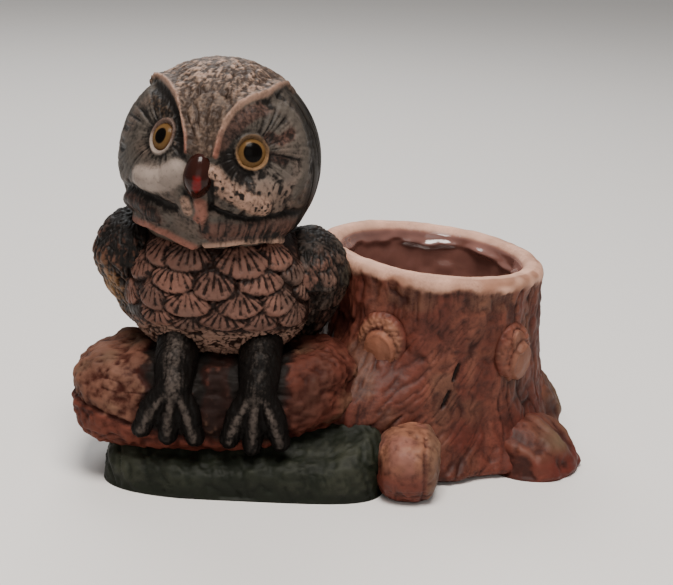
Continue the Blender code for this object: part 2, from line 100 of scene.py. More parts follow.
# Swellings of the bark: azimuth, bulge, half width, height of the middle, half height.
SWELLINGS = (
    (-123, 0.0175, 0.019, 0.028, 0.0135),
    (-114, 0.013, 0.014, 0.008, 0.014),
    (-92, 0.004, 0.015, 0.000, 0.012),
    (-62, 0.003, 0.02, 0.000, 0.01),
    (-33, 0.0095, 0.015, 0.000, 0.015),
    (6, 0.005, 0.012, 0.000, 0.024),
)
# Slits in the bark: azimuth and height of the middle, and half length.
BARK_SLITS = ((-78, 0.0395, 0.0036), (-82.5, 0.0302, 0.0034))

HEAD_CENTRE = (-0.038, 0.002, 0.1126)
HEAD_RADIUS = 0.0356
HEAD_TURN = (0.0, math.radians(6), math.radians(-8))
EYE_DIRECTION = (30.5, 18.4)  # azimuth, to either side, and elevation
EYE_RADIUS = 0.0064
EYE_DEPTH = 0.0281
BEAK_CENTRE = (0, -0.0345, 0.0012)
BEAK_HALF = (0.005, 0.0052, 0.008)

BODY_CENTRE = (-0.037, 0.002, 0.068)
BODY_HALF = (0.0335, 0.0285, 0.027)

WING_HALF = (0.0158, 0.021, 0.0185)
WING_OUT = 0.0305
WING_BACK = 0.008
WING_HEIGHTS = {"left": 0.075, "right": 0.0695}

TAIL_CENTRE = (-0.037, 0.0285, 0.0445)
TAIL_HALF = (0.013, 0.0068, 0.021)
TAIL_LEAN = math.radians(14)

LOG_CENTRE = (-0.0368, -0.005, 0.03)
LOG_HALF = (0.0502, 0.027, 0.0168)
LOG_RISE = 0.08
LOG_SAG = 0.0042  # the underside hangs lower near the stump
LOG_SAG_MIDDLE = 0.0125
LOG_SAG_WIDTH = 0.027
LOG_LIFT = 0.0075  # and curls up at the left end
LOG_JOIN_RISE = 0.0055  # the log's top climbs a little where it meets the stump
# Black paint on the log round each leg, which is also painted shade under the owl, and a painted shadow
# between the legs:
LEG_PAINT_AND_SHADE = (13.5 * MM, 8.5 * MM)  # from the middle of each leg: where it starts, and where it is full
LEGS_MIDDLE = -0.0355  # X of the dark patch between the legs
# The line along the log's front where its lower shelf begins: X and height.
LOG_SHELF = (
    (-0.09, 0.0305),
    (-0.084, 0.029),
    (-0.072, 0.0262),
    (-0.062, 0.0232),
    (-0.046, 0.019),
    (-0.03, 0.0178),
    (-0.01, 0.0192),
    (0.01, 0.0245),
    (0.02, 0.029),
)
MOSS_CENTRE = (-0.0255, -0.0105, 0.0)
MOSS_HALF = (0.0505, 0.0285, 0.0125)
MOSS_STEP = (0.009, 0.02)
MOSS_STEP_HEIGHT = 0.0055
MOSS_OVERLAP = 1.08  # the fine moss is a little higher, so that it always meets the log
STUB_CENTRE = (0.033, -0.0205, 0.0108)
STUB_HALF = (0.0115, 0.0185, 0.0128)

# Each foot: the leg's X, and X and height of the three toe tips.
FEET = {
    "left": (-0.05, ((-0.0609, 0.0235), (-0.0516, 0.0212), (-0.0422, 0.021))),
    "right": (-0.0208, ((-0.0303, 0.0208), (-0.0221, 0.0185), (-0.0122, 0.0205))),
}
# Y and height down each leg; Y along each toe; and the radii along both.
LEG_STOPS = ((-0.016, 0.05), (-0.0255, 0.045), (-0.0312, 0.0385))
TOE_DEPTHS = (-0.0312, -0.034, -0.033)
LEG_RADII = (0.008, 0.0078, 0.0068)
TOE_RADII = (0.0046, 0.0044, 0.0036)
SHIN_PALENESS = {"left": 0.85, "right": 0.4}
FOOT_VOXEL = 0.45 * MM
SKIN_EASING = 8  # rounds of smoothing over the joined leg and toes

# How finely each ball is divided, and how far its points are drawn towards the viewer's side.
MESHES = {
    "root": (60, 0.0),
    "scar": (48, 0.0),
    "log": (100, 0.3),
    "stub": (56, 0.2),
    "moss": (84, 0.2),
    "head": (126, 0.3),
    "eye": (36, 0.35),
    "beak": (34, 0.2),
    "body": (118, 0.32),
    "wing": (76, 0.15),
    "tail": (44, 0.0),
    "joint": (12, 0.0),
}
POT_COLUMNS = 372
PROFILE_EASING = 4  # rounds of smoothing over the pot's section

# ---- glazes and lights
# Each glaze: roughness, clear coat, grain in millimetres, how broken the brushing is, how deep the
# grain is dented, and specular level.
GLAZES = {
    "bark_glaze": (0.55, 0.0, 0.9, 0.8, 0.5, 0.22),
    "liner_glaze": (0.2, 0.8, 2.5, 0.3, 0.25, 0.5),
    "log_glaze": (0.62, 0.0, 0.9, 0.8, 0.5, 0.1),
    "moss_glaze": (0.6, 0.0, 0.6, 0.6, 0.45, 0.18),
    "feather_glaze": (0.5, 0.0, 0.8, 0.9, 0.35, 0.15),
    "foot_paint": (0.55, 0.0, 0.7, 0.9, 0.35, 0.08),
    "eye_paint": (0.3, 0.02, 0.8, 0.15, 0.0, 0.05),
    "beak_paint": (0.3, 0.06, 0.8, 0.15, 0.0, 0.16),
}
GLOSS_ROUGHNESS = 0.08  # where the glaze is thick
COAT_ROUGHNESS = 0.22
DENT_DEPTH = 0.25 * MM
PATCH_SIZE = 9 * MM  # of the slow changes of tone in every glaze
PATCH_TONES = (0.8, 1.16)

# Each soft square light: place, width, power and colour.
LIGHTS = {
    "key": ((0.02, -0.32, 1.09), 0.5, 17.0, (1.0, 0.94, 0.88)),
    "fill": ((0.1, -1.1, 0.5), 0.8, 2.0, (1.0, 0.97, 0.94)),
    "back": ((-0.2, 0.8, 0.9), 0.6, 6.0, (1.0, 1.0, 1.0)),
}
SKY = (1.0, 0.985, 0.97, 1)
SKY_STRENGTH = 0.3
FLOOR_HALF = 4.0
FLOOR_COLOUR = (0.8, 0.78, 0.76, 1)
FLOOR_ROUGHNESS = 0.7

# ---- paints (linear red, green, blue)
BONE = (0.3, 0.185, 0.135)
CHALK = (0.25, 0.2, 0.17)
PINK = (0.22, 0.092, 0.066)
RUST = (0.095, 0.036, 0.024)
ROSE = (0.1, 0.056, 0.044)
GREY = (0.076, 0.063, 0.052)
DRAB = (0.098, 0.049, 0.037)
DUSK = (0.02, 0.016, 0.012)
CROWN = (0.35, 0.225, 0.165)
CROWN_DEEP = (0.034, 0.021, 0.015)
BREAST = (0.16, 0.076, 0.055)
OCHRE = (0.26, 0.135, 0.05)
SOOT = (0.008, 0.006, 0.005)
UMBER = (0.014, 0.006, 0.004)
BARK = (0.104, 0.027, 0.017)
BARK_PALE = (0.16, 0.056, 0.035)
BARK_TAN = (0.23, 0.1, 0.06)
BARK_RED = (0.12, 0.031, 0.02)
BARK_DEEP = (0.034, 0.008, 0.005)
OLIVE = (0.11, 0.07, 0.042)
RIM = (0.62, 0.36, 0.26)
LINER = (0.18, 0.078, 0.062)
MOSS = (0.026, 0.028, 0.018)
MOSS_DEEP = (0.006, 0.008, 0.004)
FOOT_GREY = (0.068, 0.054, 0.046)
LOG_BROWN = (0.07, 0.026, 0.018)
LOG_TAN = (0.17, 0.082, 0.054)
AMBER = (0.115, 0.062, 0.022)
AMBER_RIM = (0.07, 0.028, 0.01)
BEAK_BROWN = (0.022, 0.006, 0.004)
BEAK_RED = (0.13, 0.005, 0.005)
# Collar and lobes of each scar.
SCAR_PAINTS = {
    "knot_left": ((0.2, 0.085, 0.05), (0.24, 0.095, 0.055)),
    "knot_right": (BARK_PALE, (0.19, 0.08, 0.05)),
}


# ---- number helpers
def smooth(low, high, value):
    """From 0 to 1 as the value goes from low to high, level at both ends."""
    share = np.clip((value - low) / (high - low), 0, 1)
    return share * share * (3 - 2 * share)


def hill(distance, width):
    """1 at no distance, falling smoothly to 0 on both sides."""
    return np.exp(-((distance / width) ** 2))


def mix(first, second, share):
    """Between two colours, or two sets of colours, with a share for each point."""
    return np.asarray(first) + share[:, None] * (np.asarray(second) - np.asarray(first))


def columns(*parts):
    """Points from their coordinates, any of which may be one number for all of them."""
    return np.stack(np.broadcast_arrays(*parts), axis=-1)


LATTICE = np.random.default_rng(11).random((32, 32, 32))


def noise(points, size, layer=0):
    """Smooth noise from 0 to 1, with lumps of about this size. The size may differ by axis."""
    place = points / np.asarray(size) + 5.37 * layer
    cell = np.floor(place).astype(int)
    part = place - cell
    part = part * part * (3 - 2 * part)
    total = np.zeros(len(points))
    for corner in np.ndindex(2, 2, 2):
        weight = np.prod(np.where(corner, part, 1 - part), axis=1)
        index = (cell + corner) % len(LATTICE)
        total += weight * LATTICE[index[:, 0], index[:, 1], index[:, 2]]
    return total


def lumpy(points, size, layer):
    """Smooth noise from -0.5 to 0.5, with the size in millimetres."""
    return noise(points, np.multiply(size, MM), layer) - 0.5


def creases(points, size, width, layer):
    """From 0 to 1: thin wandering lines, drawn out along the axes where the size is large."""
    return hill(noise(points, size, layer) - 0.5, width)


def cracks_in(points, size, width, layer):
    """Creases, with the size in millimetres."""
    return hill(lumpy(points, size, layer), width)


def curled(points, reach, size, layer):
    """Points pushed about, so that lines drawn through them curl. Reach and size in millimetres."""
    return points + reach * MM * columns(*(lumpy(points, size, layer + axis) for axis in range(3)))


# ---- surfaces
def ball(divisions, pull=0.0):
    """A unit ball as points and quads, with its points drawn towards -Y by the pull."""
    steps = np.arange(divisions + 1)
    first, second = (grid.ravel() for grid in np.meshgrid(steps, steps, indexing="ij"))
    index = np.arange(len(first)).reshape(divisions + 1, -1)
    square = np.stack((index[:-1, :-1], index[1:, :-1], index[1:, 1:], index[:-1, 1:]), axis=-1)
    square = square.reshape(-1, 4)
    points = []
    faces = []
    for axis in range(3):
        for end in (0, divisions):
            side = np.empty((len(first), 3), int)
            side[:, axis] = end
            side[:, (axis + 1) % 3] = first
            side[:, (axis + 2) % 3] = second
            faces.append((square if end else square[:, ::-1]) + len(points) * len(first))
            points.append(side)
    points, inverse = np.unique(np.vstack(points), axis=0, return_inverse=True)
    faces = inverse.reshape(-1)[np.vstack(faces)]
    unit = np.tan((points / divisions * 2 - 1) * math.pi / 4)
    unit /= np.linalg.norm(unit, axis=1, keepdims=True)
    ahead = -unit[:, 1]
    unit *= (math.sqrt(1 - pull**2) / (1 + pull * ahead))[:, None]
    unit[:, 1] = -(ahead + pull) / (1 + pull * ahead)
    return unit, faces


def normals(points, faces):
    """The outward direction at each point of a surface of quads."""
    corners = points[faces]
    flat = np.cross(corners[:, 2] - corners[:, 0], corners[:, 3] - corners[:, 1])
    total = np.zeros_like(points)
    for column in range(4):
        np.add.at(total, faces[:, column], flat)
    return total / np.maximum(np.linalg.norm(total, axis=1, keepdims=True), 1e-12)


def pressed(points, faces, relief):
    """The surface with the relief, in millimetres, pressed out along its normals."""
    return points + normals(points, faces) * (relief * MM)[:, None]


def settled(relief, points):
    """The relief, fading out towards the ground."""
    return relief * smooth(0, 2 * MM, points[:, 2])


def squared_off(unit, power):
    """A unit ball blown up towards a box; a higher power gives sharper corners."""
    return unit / (np.abs(unit) ** power).sum(axis=1, keepdims=True) ** (1 / power)


def turned(points, euler, centre):
    """Points turned about the origin and then moved to the centre."""
    return points @ np.array(Euler(euler).to_matrix()).T + centre


def turned_out(points, azimuth, reach, height):
    """Points that face along +X, set at this reach from the stump's axis and turned to face outwards."""
    angle = math.radians(azimuth)
    middle = (POT_AXIS[0] + reach * math.cos(angle), POT_AXIS[1] + reach * math.sin(angle), height)
    return turned(points, (0, 0, angle), middle)


def on_ground(points):
    """The points, with any that lie below the ground lifted onto it."""
    points[:, 2] = np.maximum(points[:, 2], 0)
    return points


def out_of_pot(points):
    """Points that would show inside the stump's hollow are moved into its wall."""
    across = points[:, :2] - POT_AXIS
    radius = np.linalg.norm(across, axis=1)
    wanted = np.maximum(radius, POT_INNER_RADIUS + 0.55 * POT_WALL)
    points[:, :2] = POT_AXIS + across * (wanted / np.maximum(radius, 1e-9))[:, None]
    return points


def placed(name, data):
    """A new object in the scene."""
    made = bpy.data.objects.new(name, data)
    bpy.context.scene.collection.objects.link(made)
    return made


def add_layer(mesh, name, values):
    """A value or a colour for each point, which the piece's material reads."""
    if values.ndim == 1:
        layer = mesh.attributes.new(name, "FLOAT", "POINT")
        layer.data.foreach_set("value", values)
    else:
        layer = mesh.attributes.new(name, "FLOAT_COLOR", "POINT")
        layer.data.foreach_set("color", np.column_stack((values, np.ones(len(values)))).ravel())


def show(node, glaze, points, faces, high, deep, raised, gloss=0.0, caps=(), lined=None):
    """Make the visible piece that stands for this node of the frame. Faces that are lined, if any are,
    have the thick glaze of the stump's hollow."""
    mesh = bpy.data.meshes.new(node + "_fine")
    mesh.from_pydata((points + layout_origin).tolist(), [], faces.tolist() + list(caps))
    mesh.shade_smooth()
    add_layer(mesh, "high", np.broadcast_to(high, points.shape))
    add_layer(mesh, "deep", np.broadcast_to(deep, points.shape))
    add_layer(mesh, "raised", np.clip(np.broadcast_to(raised, len(points)), 0, 1))
    add_layer(mesh, "gloss", np.clip(np.broadcast_to(gloss, len(points)), 0, 1))
    piece = placed(node + "_fine", mesh)
    mesh.materials.append(glazes[glaze])
    if lined is not None:
        mesh.materials.append(glazes["liner_glaze"])
        mesh.polygons.foreach_set("material_index", np.append(lined, np.zeros(len(caps))).astype(np.int32))
    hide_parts(node)
    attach(piece, "root")


# ---- directions on a ball
def direction(azimuth, elevation):
    """Unit direction: azimuth from straight ahead towards +X, in degrees."""
    turn = math.radians(azimuth)
    lift = math.radians(elevation)
    return np.array((math.sin(turn) * math.cos(lift), -math.cos(turn) * math.cos(lift), math.sin(lift)))


def angles(unit):
    """Azimuth and elevation of each direction, in degrees."""
    azimuth = np.degrees(np.arctan2(unit[:, 0], -unit[:, 1]))
    elevation = np.degrees(np.arcsin(np.clip(unit[:, 2], -1, 1)))
    return azimuth, elevation


def tangents(middle, towards):
    """Two directions along the ball's surface at the middle: one towards a point, one to its right."""
    ahead = towards - (towards @ middle) * middle
    ahead /= np.linalg.norm(ahead)
    return ahead, np.cross(ahead, middle)


def around(unit, azimuth, elevation):
    """Angle from this direction in degrees, and the bearing around it."""
    middle = direction(azimuth, elevation)
    up, side = tangents(middle, UP)
    away = np.degrees(np.arccos(np.clip(unit @ middle, -1, 1)))
    return away, np.arctan2(unit @ up, unit @ side)


def around_eye(unit, side):
    """Angle from the eye's middle in degrees, as if its lids were round, and the bearing around it."""
    azimuth, elevation, _, narrowing = EYE_RINGS[side]
    away, bearing = around(unit, azimuth, elevation)
    squeeze = np.hypot(np.cos(bearing) / narrowing, np.sin(bearing))
    return away * (1 + (squeeze - 1) * smooth(30, 12, away)), bearing


def from_path(points, corners):
    """Distance from the line through the corners."""
    nearest = np.full(len(points), np.inf)
    for start, end in zip(corners, corners[1:]):
        run = end - start
        along = np.clip((points - start) @ run / (run @ run), 0, 1)
        nearest = np.minimum(nearest, np.linalg.norm(points - start - along[:, None] * run, axis=1))
    return nearest


def from_line(unit, stops):
    """Angle in degrees from the line through the stops, each an azimuth and an elevation."""
    return np.degrees(from_path(unit, [direction(*stop) for stop in stops]))





def feathers(unit, rows, strokes=9):
    """Overlapping feathers, laid row by row. Each is (middle, open edge's direction, half width, half
    length). Returns the relief from 0 to 1, how pale each point is rubbed, and the feather's shade."""
    relief = np.zeros(len(unit))
    pale = np.zeros(len(unit))
    shade = np.full(len(unit), 0.5)
    for number, (middle, edge, side, half_width, half_length) in enumerate(rows):
        near = unit @ middle > 0.5
        x = unit @ side / math.sin(math.radians(half_width))
        y = unit @ edge / math.sin(math.radians(half_length))
        x = x / (1 - 0.3 * np.clip(-y, 0, 1))
        wobble = 0.05 * np.sin(3 * x + 2.1 * number) + 0.04 * np.sin(5 * y + 1.3 * number)
        reach = np.hypot(x, y) + wobble
        inside = near & (reach < 1)
        beyond = near & (reach >= 1) & (y > -0.35)
        crevice = hill(reach - 1.02, 0.13) * beyond
        relief -= 0.55 * crevice
        pale *= 1 - 0.95 * crevice
        fan = np.arctan2(x, y + 1.35)
        length = np.hypot(x, y + 1.35)
        jitter = 0.3 * np.sin(9.1 * number + np.round(fan * strokes / math.pi * 1.15) * 2.4)
        line = smooth(0.1, 0.7, np.cos(fan * strokes * 2.3 + 1.7 * number))
        cut = line * smooth(0.7 + jitter, 1.00 + jitter, length)
        cut *= smooth(2.12, 1.8 + jitter, length)
        rounded = 1 - smooth(0.8, 1.03, reach) * 0.75
        height = (0.5 + 0.5 * (y + 1) / 2) * rounded
        relief = np.where(inside, height - 0.42 * cut, relief)
        rubbed = (0.5 + 0.38 * smooth(-0.9, 0.5, y)) * (1 - 0.75 * smooth(0.84, 1.0, reach))
        pale = np.where(inside, rubbed * (1 - 0.88 * cut), pale)
        shade = np.where(inside, (number * 0.618) % 1.0, shade)
    return relief, pale, shade


def hanging(azimuth, elevation, half_width, half_length):
    """A feather on a ball whose open edge hangs down."""
    middle = direction(azimuth, elevation)
    edge, side = tangents(middle, -UP)
    return middle, edge, side, half_width, half_length


# ---- materials
def glazed(name, roughness, coat, grain, speckle, dents, specular):
    """Paint under a thin glaze: the deep colour shows in the recesses and the high colour on top, with
    a broken edge between them, as a dry brush leaves it."""
    material = bpy.data.materials.new(name)
    material.use_nodes = True
    tree = material.node_tree

    def feed(target, inputs):
        """Give each input a value, or link it to another node's output."""
        for key, value in inputs.items():
            if isinstance(value, bpy.types.NodeSocket):
                tree.links.new(value, target.inputs[key])
            else:
                target.inputs[key].default_value = value

    def node(kind, inputs, output=0, **settings):
        made = tree.nodes.new("ShaderNode" + kind)
        for key, value in settings.items():
            setattr(made, key, value)
        feed(made, inputs)
        return made.outputs[output]

    def layer(attribute, output):
        return node("Attribute", {}, output, attribute_name=attribute)

    place = node("TexCoord", {}, "Object")
    fine = node("TexNoise", {"Vector": place, "Scale": 1 / (grain * MM), "Detail": 3.0, "Roughness": 0.6})
    broad = node("TexNoise", {"Vector": place, "Scale": 1 / PATCH_SIZE, "Detail": 2.0})
    centred = node("Math", {0: fine, 1: 0.5}, operation="SUBTRACT")
    broken = node("Math", {0: centred, 1: speckle}, operation="MULTIPLY")
    level = node("Math", {0: layer("raised", "Fac"), 1: broken}, operation="ADD")
    span = {"Value": level, "From Min": 0.05, "From Max": 0.95}
    rubbed = node("MapRange", span, interpolation_type="SMOOTHSTEP")
    colours = {"Factor": rubbed, 6: layer("deep", "Color"), 7: layer("high", "Color")}
    paint = node("Mix", colours, 2, data_type="RGBA")
    span = {"Value": broad, "From Min": 0.3, "From Max": 0.7}
    span.update(zip(("To Min", "To Max"), PATCH_TONES))
    tone = node("VectorMath", {0: paint, "Scale": node("MapRange", span)}, operation="SCALE")
    uneven = node("Math", {0: centred, 1: 0.25}, operation="MULTIPLY")
    dull = node("Math", {0: uneven, 1: roughness}, operation="ADD")
    glossy = node("Mix", {0: layer("gloss", "Fac"), 2: dull, 3: GLOSS_ROUGHNESS})
    shader = tree.nodes["Principled BSDF"]
    feed(shader, {"Base Color": tone, "Roughness": glossy, "Coat Weight": coat})
    feed(shader, {"Coat Roughness": COAT_ROUGHNESS, "Specular IOR Level": specular, "Metallic": 0.0})
    if dents:
        bumps = {"Strength": dents, "Distance": DENT_DEPTH, "Height": fine}
        feed(shader, {"Normal": node("Bump", bumps)})
    return material


# ---- stump
def pot_profile():
    """Half section from the hollow's floor, over the rim, down the outside and under the foot."""
    inner = POT_INNER_RADIUS
    outer = POT_INNER_RADIUS + POT_WALL
    top = POT_HEIGHT
    # stops of radius and height, each with the step in millimetres that leads up to it
    stops = (
        (0.001, POT_FLOOR, 2.0),
        (inner - 0.011, POT_FLOOR, 2.0),
        (inner - 0.005, POT_FLOOR + 0.004, 1.3),
        (inner - 0.003, 0.35 * top, 1.3),
        (inner - 0.001, 0.75 * top, 1.3),
        (inner, top - 0.003, 0.5),
        (inner + 0.003, top, 0.5),
        (outer - 0.0035, top, 0.5),
        (outer - 0.001, top - 0.001, 0.5),
        (outer, top - 0.0035, 0.5),
        (outer - 0.0008, top - 0.011, 0.5),
        (outer - 0.0008, top - 0.023, 0.5),
        (outer - 0.0004, top - 0.036, 0.5),
        (outer + 0.0004, top - 0.048, 0.5),
        (outer + 0.0016, top - 0.058, 0.5),
        (outer + 0.003, top - 0.066, 0.5),
        (outer + 0.004, top - 0.072, 0.5),
        (outer + 0.0032, 0.0, 4.0),
        (0.001, 0.0, 4.0),
    )
    line = [np.array(stops[0][:2])]
    for *stop, step in stops[1:]:
        run = np.array(stop) - line[-1]
        count = max(1, round(np.linalg.norm(run) / (step * MM)))
        line += [line[-1] + run * (i + 1) / count for i in range(count)]
    line = np.array(line)
    for _ in range(PROFILE_EASING):
        line[1:-1] = (line[:-2] + 2 * line[1:-1] + line[2:]) / 4
    line[line[:, 1] < 0.0004, 1] = 0
    return line


def bark_form(points):
    """The solid's bark swellings, root flares and sloping rim, around the stump's axis."""
    across, height = points[:, :2], points[:, 2]
    radius = np.linalg.norm(across, axis=1)
    angle = np.arctan2(across[:, 1], across[:, 0])
    outside = radius > POT_INNER_RADIUS + POT_WALL / 2
    foot = np.exp(-height / FOOT_FADE)
    flare = FLARE[0] + FLARE[1] * np.cos(5 * angle + 0.6)
    ripple = RIPPLES[0] * np.cos(9 * angle + 0.8 + 18 * height)
    ripple += RIPPLES[1] * np.cos(14 * angle - 25 * height)
    below_rim = np.clip((POT_HEIGHT - 0.004 - height) / 0.012, 0, 1)
    swelling = np.zeros(len(points))
    for azimuth, bulge, half_width, middle, half_height in SWELLINGS:
        turn = (angle - math.radians(azimuth) + math.pi) % (2 * math.pi) - math.pi
        along = turn * (POT_INNER_RADIUS + POT_WALL) / half_width
        swelling += bulge * np.exp(-(along**2) - ((height - middle) / half_height) ** 2)
    grown = radius + outside * (flare * foot + ripple * below_rim + swelling)
    scale = grown / np.maximum(radius, 1e-9)
    tilt = -POT_RIM_SLOPE * points[:, 0] * height / POT_HEIGHT
    return np.column_stack((across * scale[:, None], height + tilt))


def stump_bearing(points):
    """Direction of each point from the stump's axis, in degrees."""
    across = points[:, :2] - POT_AXIS
    return np.degrees(np.arctan2(across[:, 1], across[:, 0]))


def bark_grain(points):
    """Relief in millimetres and rubbed paleness of bark: soft lumps, small pits, and sparse cracks that
    run up and down, but lean to the right across the stump's face."""
    bearing = stump_bearing(points)
    height = points[:, 2]
    flow = np.radians(bearing) * (POT_INNER_RADIUS + POT_WALL) + 3.0 * MM * lumpy(points, 9, 3)
    upright = columns(flow, height, 0)
    leaning = columns(0.8 * flow - 0.6 * height, 0.6 * flow + 0.8 * height, 0)
    face = smooth(-118, -104, bearing) * smooth(-52, -70, bearing)
    face *= smooth(0.066, 0.052, height)
    cracks = (1 - face) * cracks_in(upright, (4.2, 15, 1), 0.06, 0)
    cracks += face * cracks_in(leaning, (3.8, 12, 1), 0.06, 1)
    cracks *= smooth(-0.08, 0.12, lumpy(points, 8, 2))
    fine = (1 - face) * cracks_in(upright, (1.9, 7, 1), 0.1, 4)
    fine += face * cracks_in(leaning, (1.7, 5, 1), 0.1, 5)
    ribs = (1 - face) * lumpy(upright, (2.6, 16, 1), 6)
    ribs += face * lumpy(leaning, (2.8, 12, 1), 7)
    lumps = lumpy(points, 7, 8)
    pits = lumpy(points, 1.9, 9)
    relief = lumps + 0.7 * ribs + 0.6 * pits - 0.75 * cracks - 0.42 * fine
    raised = 0.72 + 0.25 * lumps + 0.35 * ribs + 0.45 * pits - 0.5 * cracks - 0.3 * fine
    return relief, raised


def bark_colour(points):
    """Red-brown bark with paler and greyer patches, and darker and redder towards the ground."""
    strips = columns(stump_bearing(points), points[:, 2] / MM, 0)
    patches = 0.55 * noise(points, 13 * MM, 10) + 0.45 * noise(strips, (5, 22, 1), 11)
    high = mix(BARK, BARK_PALE, smooth(0.35, 0.8, patches))
    high = mix(high, OLIVE, 0.35 * smooth(0.55, 0.8, noise(points, 10 * MM, 12)))
    return high * (1 - np.outer(smooth(0.04, 0.0, points[:, 2]), (0.2, 0.42, 0.42)))


def slits(points):
    """From 0 to 1: two short slits, one above the other, on the stump's face, painted dark as the shade in
    a deep split.
    """
    bearing = stump_bearing(points)
    total = np.zeros(len(points))
    for middle, height, half_length in BARK_SLITS:
        rise = (points[:, 2] - height) / half_length
        aside = (bearing - middle - 1.6 * rise) / (1.1 * np.sqrt(np.clip(1 - rise**2, 0.02, 1)))
        open_here = smooth(1.1, 0.7, np.abs(rise)) * smooth(1.4, 0.7, np.abs(aside))
        total = np.maximum(total, open_here)
    return total


def pot_surface():
    """The pot as points, faces and the two round caps that close it, with the columns closer together
    on the side that is seen."""
    profile = pot_profile()
    steps = np.arange(POT_COLUMNS) / POT_COLUMNS * 2 * math.pi
    bearing = steps - 0.35 * np.sin(steps) - math.pi / 2
    radius, height = profile.T[:, :, None]
    points = columns(radius * np.cos(bearing), radius * np.sin(bearing), height).reshape(-1, 3)
    ring = np.arange(len(profile) - 1)[:, None] * POT_COLUMNS
    this = ring + np.arange(POT_COLUMNS)
    following = ring + (np.arange(POT_COLUMNS) + 1) % POT_COLUMNS
    faces = np.stack((this, following, following + POT_COLUMNS, this + POT_COLUMNS), axis=-1)
    last = (len(profile) - 1) * POT_COLUMNS
    caps = (list(range(POT_COLUMNS)), [last + i for i in reversed(range(POT_COLUMNS))])
    return points, faces.reshape(-1, 4)[:, ::-1], caps


def make_pot():
    """The stump: bark outside, a pale uneven rim, and a glazed hollow."""
    points, faces, caps = pot_surface()
    from_axis = np.linalg.norm(points[:, :2], axis=1)
    outside = from_axis > POT_INNER_RADIUS + 0.62 * POT_WALL
    depth = POT_HEIGHT - points[:, 2]
    place = bark_form(points) + (*POT_AXIS, 0)
    relief, raised = bark_grain(place)
    edge = RIM_BAND + 3.0 * MM * lumpy(place, 7, 13) + 2.4 * MM * lumpy(place, 2.2, 81)
    barky = outside * smooth(edge - 1.6 * MM, edge + 1.6 * MM, depth)
    inner = smooth(POT_INNER_RADIUS + 1.8 * MM, POT_INNER_RADIUS + 0.2 * MM, from_axis)
    inner = inner * (points[:, 2] > POT_FLOOR / 2)
    uneven = lumpy(place, 9, 14)
    rim_relief = 0.8 * uneven + 0.35 * lumpy(place, (3, 3, 5), 15)
    neck = hill(depth - RIM_NECK[0], RIM_NECK[1]) * outside
    slit = slits(place) * outside
    waves = lumpy(place, (7, 7, 3.5), 79)
    ledge = hill(depth - GLAZE_LEDGE[0] + 2.5 * MM * uneven, GLAZE_LEDGE[1]) * (1 + 2.4 * waves)
    relief = relief * barky + (1 - barky) * rim_relief - 0.5 * neck - 1.8 * slit
    relief += inner * (0.6 * waves + 1.6 * ledge)
    place = pressed(place, faces, settled(relief, place))
    stained = smooth(0.45, 0.75, noise(place, 6 * MM, 16))
    rim = mix(RIM, BARK_TAN, (0.25 + 0.35 * outside) * stained + 0.2 * outside)
    high = mix(mix(rim, bark_colour(place), barky), LINER, inner)
    deep = mix(mix(BARK_TAN, BARK_DEEP, barky), np.multiply(LINER, 0.6), inner)
    # the slits are painted near black: painted shade inside a deep split
    deep = mix(deep, UMBER, slit)
    raised = raised * barky + (1 - barky) * (0.8 + 0.5 * uneven) - 1.6 * slit
    lined = inner[faces].mean(axis=1) > 0.9
    show("stump_pot", "bark_glaze", place, faces, high, deep, raised, inner, caps, lined)


def root_form(unit, length, width, height, fall):
    """A block that is lower and narrower towards its outer end."""
    along, aside, up = squared_off(unit, 2.6).T
    outward = (along + 1) / 2
    y = aside * width / 2 * (1 - 0.15 * outward)
    return on_ground(columns(along * length / 2, y, up * height * (1 - fall * outward)))


def make_root(name):
    """A folded root, which is greyer towards its tip."""
    azimuth, reach, length, width, height, fall = ROOTS[name]
    unit, faces = ball(*MESHES["root"])
    inward = 1 - ROOT_BLEND * smooth(0.5, -0.4, unit[:, 0])
    place = root_form(unit, length, width, height, fall) * columns(1, inward, inward)
    place = out_of_pot(turned_out(place, azimuth, reach - length / 2, 0))
    across = unit[:, 1] * 0.5 * width + 2.0 * MM * lumpy(place, 7, 17)
    grain = columns(across, unit[:, 2] * 0.5 * height, unit[:, 0] * 0.3 * length)
    folds = lumpy(grain, (3.6, 4.5, 22), 18)
    lumps = lumpy(place, 6, 19)
    pits = lumpy(place, 1.8, 20)
    relief = 0.8 * lumps + 3.2 * folds + 0.6 * pits
    relief = settled(relief, place) * smooth(-0.9, -0.3, unit[:, 0])
    place = on_ground(pressed(place, faces, relief))
    upper = smooth(0.006, 0.013, place[:, 2])
    tip = smooth(-0.1, 0.9, unit[:, 0])
    high = mix(bark_colour(place), OLIVE, upper * tip * (0.6 + 1.2 * folds))
    raised = 0.62 + 0.14 * tip + 0.35 * lumps + 0.7 * pits + 1.9 * folds
    show(name, "bark_glaze", place, faces, high, BARK_DEEP, raised)


